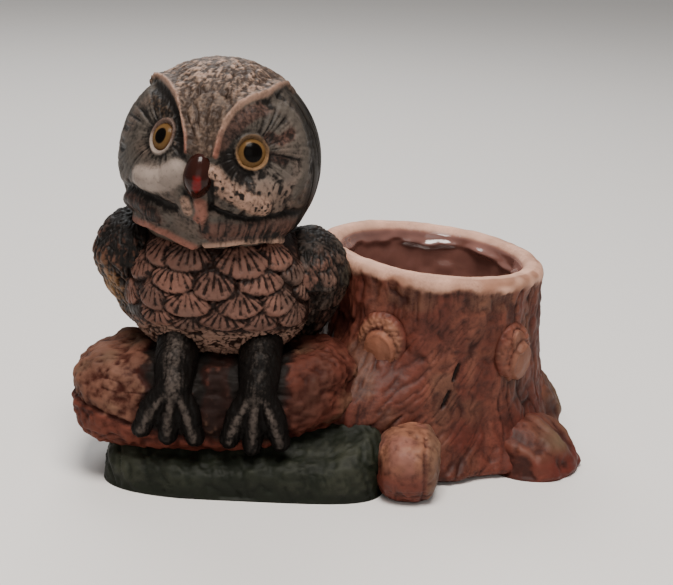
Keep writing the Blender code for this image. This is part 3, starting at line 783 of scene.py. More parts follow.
def make_scar(name):
    """A healed branch scar: a lumpy collar, wrinkled at the top, around smoother raised lobes."""
    azimuth, middle, half_width, half_height = SCARS[name]
    unit, faces = ball(*MESHES["scar"])
    out, across, up = unit.T
    front = smooth(-0.1, 0.4, out)
    spot = columns(0, across * half_width, up * half_height)
    lumps = lumpy(spot, 3.2, 21)
    wrinkles = cracks_in(spot, (1, 2.2, 1.3), 0.16, 22)
    dimples = lumpy(spot, 1.1, 76)
    relief = 0.9 * lumps
    groove = np.zeros(len(unit))
    smoothed = np.zeros(len(unit))
    for aside, lift, radius, height in SCAR_LOBES[name]:
        reach = np.hypot(across - aside, (up - lift) * 0.88) / radius + 0.1 * lumps
        relief += height * smooth(1.05, 0.8, reach) + 0.35 * hill(reach - 0.86, 0.12)
        groove = np.maximum(groove, hill(reach - 1.1, 0.09) * smooth(-0.6, 0.3, up - lift))
        smoothed = np.maximum(smoothed, smooth(1.1, 0.95, reach))
    groove *= front
    wrinkles *= (1 - smoothed) * smooth(-0.3, 0.4, up)
    relief = front * (relief - 0.45 * groove - 0.25 * wrinkles + 0.7 * dimples * (1 - 0.8 * smoothed))
    place = pressed(spot + columns(out * SCAR_THICKNESS, 0, 0), faces, relief)
    place = turned_out(place, azimuth, POT_INNER_RADIUS + POT_WALL - SCAR_BED, middle)
    raised = 0.85 + 0.5 * lumps + 0.6 * dimples * (1 - smoothed) - 0.35 * groove - 0.2 * wrinkles
    raised -= 0.5 * (1 - front)
    high = mix(*SCAR_PAINTS[name], smoothed)
    high = mix(high, bark_colour(place), smooth(0.78, 0.98, np.hypot(across, up)))
    show(name, "bark_glaze", place, faces, high, np.multiply(BARK, 0.6), raised)


# ---- log, stub and moss
def log_form(unit):
    """The solid's log: blunt at the left, thinner towards the stump, sagging and rising underneath."""
    along, aside, up = squared_off(unit, 2.8).T
    along = np.clip(along, -1, 1)
    x = np.sign(along) * (1 - (1 - np.abs(along)) ** 1.4) * LOG_HALF[0]
    swell = 1 - 0.07 * along + 0.03 * np.cos(4.2 * along + 0.6)
    taper = np.clip((along - 0.35) / 0.65, 0, 1) ** 2
    underside = (1 - up) / 2
    sag = LOG_SAG * hill(x - LOG_SAG_MIDDLE, LOG_SAG_WIDTH)
    lift = LOG_LIFT * np.clip(-along, 0, 1) ** 5
    z = up * LOG_HALF[2] * swell + (LOG_RISE * x - sag + lift) * underside
    z += LOG_JOIN_RISE * smooth(0.3, 0.72, along) * (1 - underside)
    return columns(x, aside * LOG_HALF[1] * swell * (1 - 0.45 * taper), z)


def make_log():
    """A stony log: pale lumps at its left end, a red shelf along its lower front, and black paint round
    the legs, which also stands for painted shade under the owl, with a painted shadow between the legs."""
    unit, faces = ball(*MESHES["log"])
    place = out_of_pot(log_form(unit) + LOG_CENTRE)
    line = np.interp(place[:, 0], *zip(*LOG_SHELF))
    below = line + 1.2 * MM * lumpy(place, 5, 23) - place[:, 2]
    front = smooth(0.1, -0.3, unit[:, 1])
    shelf = smooth(-0.4 * MM, 0.6 * MM, below)
    left = smooth(-0.058, -0.066, place[:, 0])
    crease = hill(below, 0.8 * MM) * front * (0.15 + 0.6 * left)
    lumps = lumpy(place, 9, 24)
    knobs = lumpy(place, 4.2, 25)
    pits = lumpy(place, 1.7, 26)
    curl = curled(place, 4, 9, 27)
    wrinkles = cracks_in(curl, (9, 9, 3.4), 0.08, 30)
    wrinkles *= smooth(0.4, 0.6, noise(place, 11 * MM, 31))
    relief = 2.4 * lumps + 2.1 * knobs + 1.1 * pits - 0.35 * wrinkles - 1.0 * crease
    relief += 0.8 * shelf * left
    place = pressed(place, faces, relief)
    tan = smooth(-0.05, -0.072, place[:, 0])
    high = mix(LOG_BROWN, BARK, 0.6 * smooth(0.3, 0.7, noise(place, 10 * MM, 32)))
    high = mix(high, LOG_TAN, tan * (0.75 + 0.6 * lumps))
    high = mix(high, OLIVE, 0.45 * smooth(0.5, 0.75, noise(place, 8 * MM, 33)))
    high = mix(high, BARK_RED, 0.85 * shelf * front)
    raised = 0.72 + 0.35 * lumps + 0.6 * knobs + 1.1 * pits - 0.35 * wrinkles - 0.6 * crease
    # painted shade: the underside of the log is rubbed less, so it is darker
    raised -= 0.12 * smooth(-0.2, -1.0, unit[:, 2])
    # black paint round each leg, which also stands for painted shade under the owl
    dark = np.zeros(len(place))
    for across, _ in FEET.values():
        aside = np.abs(place[:, 0] - across) + 5 * MM * lumpy(place, 4, 34)
        dark = np.maximum(dark, smooth(*LEG_PAINT_AND_SHADE, aside))
    # painted shadow between the legs
    dark = np.maximum(dark, 0.75 * hill(place[:, 0] - LEGS_MIDDLE, 10 * MM))
    dark *= smooth(0, -2.5 * MM, below)
    deep = mix(BARK_DEEP, SOOT, dark)
    show("log_perch", "log_glaze", place, faces, high, deep, raised - dark)


def make_stub():
    """A stone-like stub: dimpled and pale on top, red with dark speckles near the ground."""
    unit, faces = ball(*MESHES["stub"])
    place = squared_off(unit, 2.7) * STUB_HALF + STUB_CENTRE
    place = out_of_pot(on_ground(place))
    lumps = lumpy(place, 6, 35)
    dimples = lumpy(place, 2.4, 36)
    pits = lumpy(place, 1.2, 37)
    fold = hill(place[:, 0] - STUB_CENTRE[0] - 5.5 * MM + 1.5 * MM * lumps, 0.9 * MM)
    fold *= smooth(-0.1, -0.5, unit[:, 1])
    lower = smooth(0.0075, 0.0035, place[:, 2])
    cracks = cracks_in(place, (3.0, 3.0, 1.2), 0.12, 38) * lower
    relief = 1.4 * lumps + 0.7 * dimples + 0.3 * pits - 0.8 * fold - 0.3 * cracks
    place = on_ground(pressed(place, faces, settled(relief, place)))
    upper = smooth(0.008, 0.018, place[:, 2])
    high = mix(BARK_RED, mix(PINK, BARK_TAN, smooth(0.3, 0.7, noise(place, 5 * MM, 39))), upper)
    high = mix(high, OLIVE, 0.6 * smooth(5 * MM, 7.5 * MM, place[:, 0] - STUB_CENTRE[0]))
    raised = 0.74 + 0.4 * lumps + 0.6 * dimples + 0.5 * pits - 0.45 * fold - 0.55 * cracks
    show("log_stub", "bark_glaze", place, faces, high, np.multiply(BARK, 0.45), raised)


def moss_form(unit):
    """The solid's bank: flat below, wavy on top, higher towards the back and the right."""
    block = squared_off(unit, 4.5)
    along, aside, up = block.T
    x, y, z = (block * MOSS_HALF).T
    waves = 0.06 * np.sin(x / 0.006) + 0.05 * np.sin(x / 0.011 + 1)
    z = z * (1 + 0.75 * np.clip(along, 0, 1) ** 2 + waves)
    inward = np.clip((y + MOSS_HALF[1] - MOSS_STEP[0]) / (MOSS_STEP[1] - MOSS_STEP[0]), 0, 1)
    z += MOSS_STEP_HEIGHT * inward * np.clip(up, 0, 1)
    y = y + 0.006 * np.clip(-along, 0, 1) ** 3 * np.clip(-aside, 0, 1)
    return on_ground(columns(x, y, z))


def make_moss():
    """A bank of moss under the log, combed upwards."""
    unit, faces = ball(*MESHES["moss"])
    place = out_of_pot(moss_form(unit) * (1, 1, MOSS_OVERLAP) + MOSS_CENTRE)
    lean = columns(place[:, 0] + 0.35 * place[:, 2], place[:, 1] * 0.6, place[:, 2])
    blades = cracks_in(lean, (2.4, 9, 7), 0.11, 40)
    tufts = lumpy(place, (7, 7, 12), 41)
    pits = lumpy(place, 1.6, 42)
    relief = 2.0 * tufts - 0.6 * blades + 0.6 * pits
    place = on_ground(pressed(place, faces, relief * smooth(0, 1.5 * MM, place[:, 2])))
    raised = 0.5 + 0.9 * tufts - 0.35 * blades + 0.7 * pits
    # Darker towards the ground, and darker in the middle, under the owl on its log, which is painted
    # shadow.
    raised *= smooth(0.0005, 0.006, place[:, 2])
    ends = np.maximum(smooth(-0.045, -0.06, place[:, 0]), smooth(-0.01, 0.008, place[:, 0]))
    raised *= 0.55 + 0.45 * ends
    show("moss_bank", "moss_glaze", place, faces, MOSS, MOSS_DEEP, raised)


# ---- owl: head
# The two brow ridges, from the beak's root outwards: azimuth and elevation.
BROWS = {
    -1: ((-9, 14), (-12, 22), (-16, 28), (-20, 33), (-27, 40), (-35, 44), (-45, 47), (-60, 48), (-88, 43)),
    1: ((8, 14), (9, 24), (11, 32), (16, 40), (22, 45), (32, 49), (45, 52), (60, 56), (88, 57)),
}
# Each eye's lids: azimuth, elevation, radius in degrees, and how much narrower than high they are.
EYE_RINGS = {-1: (-29.5, 18.8, 10.0, 0.76), 1: (29.8, 18.4, 9.8, 0.98)}
# How far the pupil and the iris reach from the middle of the eyeball's gaze, in degrees.
EYE_PAINT = {-1: (25, 50), 1: (31, 66)}

# Strokes of the modelling tool and the brush on the head: stops of azimuth and elevation, width in
# degrees, height in millimetres, how pale it is rubbed from 0 to 1, and its colour.
HEAD_STROKES = (
    # painted shadows under the brows, and painted shade in the dark pockets beside the eyes
    (((-13, 12), (-15, 19), (-18, 26), (-23, 33)), 4.0, -1.6, 0.0, SOOT),
    (((-24, 34), (-34, 39), (-50, 42), (-66, 42)), 3.6, -1.0, 0.15, DUSK),
    (((-31, 31), (-40, 34), (-52, 36)), 3.0, -0.3, 0.25, OLIVE),
    (((13, 21), (15, 13), (20, 7), (27, 4)), 4.8, -2.0, 0.0, SOOT),
    (((38, 45), (50, 47), (60, 50)), 3.4, -1.1, 0.0, SOOT),
    (((41, 27), (49, 25), (58, 29)), 3.2, -0.8, 0.3, DRAB),
    (((42, 17), (50, 14)), 2.6, -0.6, 0.26, DRAB),
    # the reddish slope between the right eye and its brow
    (((11, 22), (15, 30), (22, 36), (31, 41), (39, 44)), 4.6, 0.6, 0.5, ROSE),
    # outer edges of the two face discs
    (((56, 47), (63, 40), (67, 30), (68, 18), (66, 6), (61, -4)), 5.0, 1.2, 0.78, GREY),
    (((-70, 38), (-80, 25), (-84, 10), (-78, -5), (-66, -12)), 6.0, 0.5, 0.62, GREY),
    # cheek puffs beside the beak
    (((-12, 2), (-20, -4), (-28, -6), (-36, -7)), 7.2, 2.5, 0.94, CHALK),
    (((7, 4), (13, -1), (20, -5), (29, -9), (38, -11.5)), 5.6, 3.0, 0.68, BONE),
    # groove that parts the face from the collar
    (((-74, -24), (-60, -19), (-50, -17), (-40, -16), (-25, -18), (-14, -20)), 3.2, -2.0, 0.0, SOOT),
    (((9, -15), (20, -18.5), (32, -20.5), (46, -19), (60, -17), (76, -18)), 2.0, -1.8, 0.0, SOOT),
    # painted shade in the gap between the beak and the right cheek puff
    (((7, 1), (8, -8), (9, -16)), 2.0, -1.0, 0.0, SOOT),
    # chin tuft
    (((-6, -13), (-4, -19)), 3.0, 0.7, 0.6, BONE),
    (((3, -13), (4, -18), (3, -22)), 3.6, 2.0, 0.84, PINK),
    # collar
    (((-70, -30), (-55, -25), (-40, -25), (-28, -28)), 6.0, 1.8, 0.4, DRAB),
    (((-68, -41), (-50, -38), (-35, -36), (-20, -38), (-11, -42), (-2, -45)), 3.0, 2.2, 0.88, PINK),
    (((10, -30), (24, -28.5), (42, -27), (60, -27), (78, -29)), 6.8, 1.4, 0.84, DRAB),
    (((12, -36), (24, -34), (42, -31), (60, -31)), 3.0, 0.3, 0.72, ROSE),
    (((8, -42), (16, -39), (28, -35), (42, -33.5), (56, -34), (70, -38)), 2.2, 2.2, 0.9, BONE),
    # painted shadow under the collar's lower rim
    (((8, -46), (20, -43), (34, -40)), 2.8, -1.6, 0.0, SOOT),
)


def crown_feathers():
    """Fans that start at the beak's root and open over the crown, the furthest row first."""
    root = direction(0, 13)
    up, side = tangents(root, UP)
    # angle from the root, how many, degrees from one to the next, half width and half length
    rows = (
        (112, 9, 18, 11.0, 12.0),
        (96, 9, 18, 11.0, 12.0),
        (80, 8, 18, 10.5, 12.0),
        (65, 7, 19, 9.5, 11.5),
        (49, 5, 21, 8.4, 11.0),
        (38, 3, 26, 8.0, 10.0),
        (22, 1, 0, 12.0, 16.0),
    )
    made = []
    for away, count, spacing, half_width, half_length in rows:
        for number in range(count):
            bearing = math.radians((number - (count - 1) / 2) * spacing - 2)
            outward = up * math.cos(bearing) + side * math.sin(bearing)
            reach = math.radians(away)
            middle = root * math.cos(reach) + outward * math.sin(reach)
            edge, across = tangents(middle, outward * 2 - root)
            made.append((middle, edge, across, half_width, half_length))
    return made


def over_brow(unit):
    """Angle above the brow line, in degrees: positive on the crown and negative on the face."""
    azimuth, elevation = angles(unit)
    line = (*BROWS[-1][::-1], (-1, 11), *BROWS[1])
    brow = np.interp(azimuth, [stop[0] for stop in line], [stop[1] for stop in line], left=38, right=50)
    distance = np.minimum(from_line(unit, BROWS[-1]), from_line(unit, BROWS[1]))
    return np.where(elevation > brow, distance, -distance)


def disc_fields(unit):
    """Relief, combing, paleness and colour of the two discs around the eyes. The combing is the pattern
    of dark rays that run outwards from each eye."""
    azimuth, elevation = angles(unit)
    relief = np.zeros(len(unit))
    combing = np.zeros(len(unit))
    level = 0.8 + 0.4 * (noise(unit, 0.07, 43) - 0.5)
    # painted shade: the left disc is rubbed a little darker, as the light falls from the right
    level -= 0.1 * smooth(3, -3, azimuth)
    high = mix(GREY, np.multiply(GREY, (1.35, 1.2, 1.15)), smooth(0.35, 0.7, noise(unit, 0.2, 44)))
    low_right = hill(from_line(unit, ((32, 2), (46, -2), (60, 0), (70, 8))), 10)
    for side, (_, _, lid, _) in EYE_RINGS.items():
        own = smooth(-3, 3, side * azimuth)
        away, bearing = around_eye(unit, side)
        sway = noise(unit, 0.35, 46 + side) - 0.5
        circle = columns(np.cos(bearing), np.sin(bearing), 0)
        patches = smooth(0.3, 0.7, noise(circle * 2.6 + away[:, None] / 16, 1.0, 49 + side))
        fine = smooth(0.0, 0.9, np.sin(52 * bearing + 7 * sway + 5 * noise(circle * 5, 1.0, 77)))
        coarse = smooth(0.35, 0.95, np.sin(23 * bearing + 4 * sway + 6 * noise(circle * 3, 1.0, 78)))
        fan = (0.5 * fine + 0.85 * coarse) * (0.2 + 0.8 * patches)
        fan *= smooth(lid + 1.0, lid + 4, away) * smooth(60, 42, away)
        fan *= 1 - 0.85 * low_right
        level -= own * (0.62 * fan + 0.4 * hill(away - lid - 2.4, 2.2))
        relief += own * (-4.4 * hill(away, 13) + 1.2 * hill(away - lid, 1.2))
        combing += own * fan
    # short dark strokes on a pale ground, below and beyond the right eye
    strokes = columns(azimuth / 2.0 - elevation / 7.0, elevation / 3.4, 0)
    dashed = smooth(0.5, 0.66, noise(strokes, 1.0, 52))
    level += low_right * (0.04 - 0.62 * dashed)
    high = mix(high, mix(BONE, CHALK, smooth(-8, 8, elevation)), 0.35 * low_right)
    combing += 0.5 * low_right * dashed
    return relief, combing, level, high


def crown_fields(unit):
    """Relief, paleness and colour of the crown: a clear fan above the beak, and finer ones behind it."""
    fans, rubbed, shade = feathers(unit, crown_feathers(), strokes=8)
    away, _ = around(unit, 0, 24)
    clear = smooth(40, 20, away)
    ruffle = creases(unit, (0.026, 0.026, 0.04), 0.13, 53)
    mottle = smooth(0.34, 0.68, noise(unit, 0.048, 54))
    azimuth, elevation = angles(unit)
    dashes = columns(azimuth / 1.7, elevation / 3.6, 0)
    dots = smooth(0.44, 0.66, noise(dashes, 1.0, 55))
    relief = 0.5 + (0.28 + 0.62 * clear) * fans - 0.25 * ruffle + 0.3 * (mottle - 0.5)
    level = 0.44 + (0.22 + 0.26 * clear) * rubbed + (0.34 * mottle - 0.12) * (1 - clear) - 0.12 * clear
    level -= 0.46 * dots * (1 - 0.3 * clear) + 0.24 * ruffle
    light = (0.4 * shade + 0.6 * mottle) * (1 - 0.6 * clear)
    high = mix(np.multiply(CROWN, (0.62, 0.66, 0.66)), CROWN, light)
    high = high * (1 - 0.4 * clear)[:, None]
    return relief, level, high


def head_fields(unit):
    """Relief in millimetres and paint over the head."""
    azimuth, elevation = angles(unit)
    crown = smooth(-1.0, 1.5, over_brow(unit))
    crown_relief, crown_level, crown_high = crown_fields(unit)
    disc_relief, combing, disc_level, disc_high = disc_fields(unit)
    relief = crown * crown_relief + (1 - crown) * disc_relief
    pale = crown * crown_level + (1 - crown) * disc_level
    high = mix(disc_high, crown_high, crown)
    fleck = noise(unit, 0.024, 56) - 0.5

    # strokes of tool and brush: the tall ones have steadier edges and hide more of the combing
    wander = 1 + 0.45 * (noise(unit, 0.1, 57) - 0.5) + 0.35 * fleck
    for stops, width, height, level, colour in HEAD_STROKES:
        distance = from_line(unit, stops) * (wander if height < 2.5 else 0.5 + 0.5 * wander)
        relief += height * hill(distance, width) * (1 - 0.8 * crown)
        brushed = smooth(1.25 * width, 0.6 * width, distance) * (1 - crown)
        combing *= 1 - (0.8 if height > 2 else 0.2) * brushed
        pale = pale + brushed * (level - pale)
        high = mix(high, colour, brushed * (1 if level > 0.1 else 0))
    pale += 0.55 * fleck
    relief -= 0.7 * combing * (1 - crown)

    # fine upright strands on the collar, and dots on the right puff
    strands = creases(columns(azimuth, elevation, 0), (1.9, 11, 9), 0.15, 58)
    on_collar = hill(from_line(unit, ((6, -28), (40, -27), (80, -31))), 7)
    on_collar = np.maximum(on_collar, 0.6 * hill(from_line(unit, ((-72, -30), (-30, -27))), 6))
    pale -= 0.75 * strands * on_collar
    relief -= 0.5 * strands * on_collar
    on_puff = hill(from_line(unit, ((9, 2), (20, -6), (40, -13))), 5)
    pale -= 0.7 * smooth(0.62, 0.72, noise(unit, 0.026, 59)) * on_puff

    # brow ridges, over everything on the face: a bright thin crest that steps down to the disc
    for stops in BROWS.values():
        distance = from_line(unit, stops)
        inside = np.where(crown > 0.5, distance, -distance)
        relief += 1.0 * hill(inside - 0.3, 1.6) + 1.0 * hill(inside - 1.5, 3.4)
        ridge = 1 - smooth(0.7, 2.2, np.abs(inside - 0.2) * wander)
        pale = pale + ridge * (0.86 + 0.5 * fleck - pale)
        high = mix(high, mix(PINK, BONE, smooth(14, 34, elevation)), ridge)
    bridge = hill(from_line(unit, ((0, 9), (0, 14))), 7.0)
    relief += 0.9 * bridge
    pale += 0.35 * bridge * (0.9 - pale)

    # eyelids: a narrow ring round each eye, paler below; the darker upper part is painted shade under the
    # brow
    for side, (_, _, lid, _) in EYE_RINGS.items():
        away, bearing = around_eye(unit, side)
        ring = 1 - smooth(lid + (0.1 if side > 0 else 0.7), lid + (1.1 if side > 0 else 2.0), away)
        below = smooth(0.3, -0.5, np.sin(bearing))
        pale = pale + ring * (0.62 + 0.2 * below - pale)
        tone = mix(RUST, CHALK, 0.4 + 0.6 * below) if side < 0 else mix(OLIVE, OCHRE, 0.2 + 0.3 * below)
        high = mix(high, tone, ring)

    # the dark hood round the back and the sides
    edge = np.where(azimuth > 0, 71, 78 + 14 * smooth(-14, 2, elevation))
    front = smooth(4, -4, np.abs(azimuth) - edge) * (elevation > -60)
    hood = (1 - front) * (1 - 0.75 * smooth(40, 62, elevation))
    grooves = creases(columns(azimuth, elevation, 0), (4, 24, 9), 0.11, 60)
    relief = relief * (1 - 0.5 * hood) - 0.45 * hood * grooves
    pale = pale * (1 - hood) + hood * (0.6 - 0.45 * grooves + 0.6 * fleck)
    high = mix(high, DUSK, hood)
    return relief, pale, high


def head_place(points):
    """Points given from the middle of an upright head, set on the turned head."""
    return turned(points, HEAD_TURN, HEAD_CENTRE)


def make_head():
    """The head, with the brows, the face discs, the collar and the crown's feathers."""
    unit, faces = ball(*MESHES["head"])
    relief, pale, high = head_fields(unit)
    place = head_place(unit * (HEAD_RADIUS + relief * MM)[:, None])
    deep = mix(SOOT, CROWN_DEEP, smooth(-1.0, 1.5, over_brow(unit)))
    show("owl_head", "feather_glaze", place, faces, high, deep, pale)


def make_eye(side, name):
    """An eyeball painted with a black pupil, an amber iris and a pale edge."""
    unit, faces = ball(*MESHES["eye"])
    centre = direction(side * EYE_DIRECTION[0], EYE_DIRECTION[1]) * EYE_DEPTH
    azimuth, elevation, _, narrowing = EYE_RINGS[side]
    gaze = direction(azimuth, elevation) * (EYE_DEPTH + EYE_RADIUS) - centre
    gaze /= np.linalg.norm(gaze)
    up, aside = tangents(gaze, UP)
    squeeze = np.hypot(unit @ aside / narrowing, unit @ up)
    off_axis = np.where(unit @ gaze > 0, np.degrees(np.arcsin(np.clip(squeeze, 0, 1))), 90)
    pupil_edge, iris_edge = EYE_PAINT[side]
    pupil = smooth(pupil_edge + 2, pupil_edge - 2, off_axis)
    iris = smooth(iris_edge + 4, iris_edge - 4, off_axis)
    amber = mix(AMBER, AMBER_RIM, smooth(iris_edge - 12, iris_edge, off_axis))
    high = mix(mix(np.multiply(BONE, 0.7), amber, iris), np.multiply(SOOT, 0.3), pupil)
    place = head_place(unit * (EYE_RADIUS + 0.15 * MM * iris)[:, None] + centre)
    show("owl_eye_" + name, "eye_paint", place, faces, high, high * 0.8, 0.9, 0.4)


def make_beak():
    """A dark brown beak with a patch of red along its ridge."""
    unit, faces = ball(*MESHES["beak"])
    x, y, z = (unit * BEAK_HALF).T
    lower = np.clip(-unit[:, 2], 0, 1)
    x = x * (1 - 0.16 * lower**2)
    y = y * (1 - 0.26 * lower**2)
    y -= 0.0012 * hill(unit[:, 2] + 0.1, 0.5)
    local = columns(x, y, z) + BEAK_CENTRE
    patch = np.hypot((x - 0.0009) / 0.0019, (z + 0.0014) / 0.0036) + 0.6 * lumpy(local, 1.5, 61)
    high = mix(BEAK_BROWN, BEAK_RED, smooth(1.05, 0.55, patch))
    show("owl_beak", "beak_paint", head_place(local), faces, high, high * 0.6, 0.85, 0.7)


# ---- owl: body, wings, tail and feet
# Breast feathers from the lowest row up: azimuth and elevation of the middle, half width and half
# length, all in degrees.
BREAST_FEATHERS = (
    (-35, -13, 13, 9),
    (-12, -17, 13, 8.5),
    (28, -13, 13, 9),
    (52, -12, 13, 9),
    (5, -12, 14, 9.5),
    (-63, -3, 12, 10.5),
    (39, 1, 14, 11),
    (-38, 2, 13, 11),
    (-16, -1, 14, 11),
    (15, 0, 14.5, 11.5),
    (64, 6, 12, 11),
    (-55, 20, 12, 11.5),
    (0, 15, 15, 12),
    (-27, 17, 14, 12),
    (29, 17, 14, 12),
    (55, 21, 12, 11),
    (-42, 34, 14, 12),
    (-20, 33, 14, 12),
    (44, 33, 13.5, 12),
    (17, 31, 15.5, 14),
)


def body_form(unit):
    """The solid's body: a rounded block with a full breast."""
    _, aside, up = unit.T
    x, y, z = (squared_off(unit, 2.3) * BODY_HALF).T
    breast = np.clip(-aside, 0, 1) ** 2 * hill(up - 0.15, 0.5)
    return columns(x * (1 - 0.06 * up), y - 0.0015 * breast, z)


def make_body():
    """The breast is covered with fanned feathers, the belly with curly fur."""
    unit, faces = ball(*MESHES["body"])
    place = body_form(unit) + BODY_CENTRE
    azimuth, elevation = angles(unit)
    back = [hanging(az, el, 12, 10) for el in (-14, 2, 18, 34) for az in range(90, 271, 24)]
    rows, rubbed, shade = feathers(unit, back + [hanging(*size) for size in BREAST_FEATHERS], strokes=15)
    fleck = lumpy(place, 0.9, 62)
    covered = smooth(-25, -19, elevation + 9 * (noise(unit, 0.2, 63) - 0.5))
    curl = curled(place, 2.4, 3.2, 64)
    fur = cracks_in(curl, (1.7, 2.0, 0.75), 0.2, 67)
    down = cracks_in(curl, (0.8, 1.6, 1.8), 0.2, 68)
    belly = smooth(-34, -52, elevation)
    strands = fur * (1 - belly) + down * belly
    relief = covered * (1.15 * rows + 0.35 * fleck) + (1 - covered) * (0.3 - 0.7 * strands)
    pale = covered * (0.08 + 1.0 * rubbed) + (1 - covered) * (1.62 - 1.55 * strands)
    pale += 0.8 * fleck + 0.9 * covered * lumpy(place, 2.2, 80)
    # painted shade at the top of the body, under the head
    pale *= 1 - 0.7 * smooth(40, 47, elevation)
    far = smooth(54, 80, np.abs(azimuth))
    # painted shade: the underside of the body is a little darker
    low = smooth(-42, -66, elevation)
    pale *= (1 - 0.6 * far) * (1 - 0.1 * low)
    high = mix(np.multiply(BREAST, (0.78, 0.84, 0.88)), np.multiply(BREAST, 1.2), shade)
    high = mix(high, np.multiply(GREY, 0.7), smooth(0.55, 0.8, noise(unit, 0.5, 69)) * 0.5)
    # painted light and shade: the breast is paler on its right and darker on its left, as the light falls
    # from the right
    high = mix(high, BONE, 0.5 * (1 - covered)) * (1 + 0.14 * np.sin(np.radians(azimuth)))[:, None]
    high = mix(high, DUSK, 0.5 * far)
    place = pressed(place, faces, relief)
    show("owl_body", "feather_glaze", place, faces, high, UMBER, pale)


def make_wing(side, name):
    """A folded wing: ragged feathers that hang down, with a darker, greyer shoulder."""
    unit, faces = ball(*MESHES["wing"])
    up = unit[:, 2]
    drop = np.clip(-up, 0, 1)
    x, y, z = (unit * WING_HALF).T
    x = x * (1 - 0.3 * drop**2) - side * 0.003 * drop**2
    y = y * (1 - 0.25 * drop) + 0.011 * drop
    z = z - 0.0135 * drop**2
    centre = (BODY_CENTRE[0] + side * WING_OUT, WING_BACK, WING_HEIGHTS[name])
    place = columns(x, y, z) + centre
    scatter = np.random.default_rng(70 + side)
    coverts = [
        hanging(az + 9 * (row % 2) + scatter.uniform(-7, 7), el + scatter.uniform(-4, 4), 15, 16)
        for row, el in enumerate((-50, -28, -6, 16, 38))
        for az in range(-180, 180, 30)
    ]
    rows, rubbed, shade = feathers(unit, coverts, strokes=6)
    swept = columns(place[:, 0], place[:, 1] + 0.3 * place[:, 2], place[:, 2])
    barbs = cracks_in(swept, (1.5, 1.8, 5), 0.14, 71)
    lumps = lumpy(place, 5, 72)
    fleck = lumpy(place, 0.9, 73)
    relief = 0.5 * rows - 0.45 * barbs + 1.2 * lumps
    pale = 0.42 * rubbed - 0.4 * barbs + 0.7 * lumps + 0.8 * fleck
    outer = side * unit[:, 0]
    if side < 0:
        patch = hill(np.hypot(outer - 0.62, up + 0.42), 0.36)
        high = mix(mix(np.multiply(BREAST, 0.7), np.multiply(BARK_TAN, 0.4), shade), OCHRE, patch)
        pale += 0.12 + 0.45 * patch
    else:
        high = mix(np.multiply(GREY, 0.7), np.multiply(BREAST, 0.8), shade)
        # dark green on the side towards the stump, partly painted shade between the wing and the stump
        high = mix(high, MOSS, 0.6 * smooth(0.6, 0.95, outer))
        pale += 0.38
    high = mix(high, np.multiply(GREY, 0.55), 0.7 * smooth(0.35, 0.8, up))
    place = pressed(out_of_pot(place), faces, relief)
    show("owl_wing_" + name, "feather_glaze", place, faces, high, SOOT, pale)


def make_tail():
    """A short tail that hangs behind the log, ribbed by its quills."""
    unit, faces = ball(*MESHES["tail"])
    local = squared_off(unit, 2.6) * TAIL_HALF
    quill = np.cos(local[:, 0] / (2.1 * MM))
    barbs = cracks_in(local, (1.2, 6, 5), 0.12, 38)
    local = pressed(local, faces, 0.7 * quill - 0.35 * barbs)
    place = turned(local, (TAIL_LEAN, 0, 0), TAIL_CENTRE)
    pale = 0.3 + 0.25 * quill - 0.3 * barbs
    show("owl_tail", "feather_glaze", place, faces, GREY, SOOT, pale)


def limb(stops, radii):
    """A tapered tube through the stops."""
    curve = bpy.data.curves.new("limb", "CURVE")
    curve.dimensions = "3D"
    curve.bevel_depth = 1
    curve.bevel_resolution = 5
    curve.use_fill_caps = True
    spline = curve.splines.new("POLY")
    spline.points.add(len(stops) - 1)
    for point, stop, radius in zip(spline.points, stops, radii):
        point.co = (*stop, 1)
        point.radius = radius
    return placed("limb", curve)


def evaluated_mesh(made):
    """Points and faces of an object with its curve or modifiers worked out. The object is removed."""
    bpy.context.view_layer.update()
    evaluated = made.evaluated_get(bpy.context.evaluated_depsgraph_get())
    mesh = evaluated.to_mesh()
    points = [tuple(vertex.co) for vertex in mesh.vertices]
    faces = [list(face.vertices) for face in mesh.polygons]
    evaluated.to_mesh_clear()
    bpy.data.objects.remove(made)
    return points, faces


def fused(name, limbs, balls):
    """One skin around all the limbs and balls, evenly meshed and smoothed."""
    points = []
    faces = []
    unit, squares = ball(*MESHES["joint"])
    shells = [evaluated_mesh(guide) for guide in limbs]
    shells += [((unit * radius + centre).tolist(), squares.tolist()) for centre, radius in balls]
    for shell_points, shell_faces in shells:
        faces += [[index + len(points) for index in face] for face in shell_faces]
        points += shell_points
    whole = bpy.data.meshes.new(name)
    whole.from_pydata(points, [], faces)
    skin = placed(name, whole)
    remesh = skin.modifiers.new("skin", "REMESH")
    remesh.mode = "VOXEL"
    remesh.voxel_size = FOOT_VOXEL
    ease = skin.modifiers.new("ease", "SMOOTH")
    ease.factor = 0.5
    ease.iterations = SKIN_EASING
    points, faces = evaluated_mesh(skin)
    return np.array(points), np.array(faces)


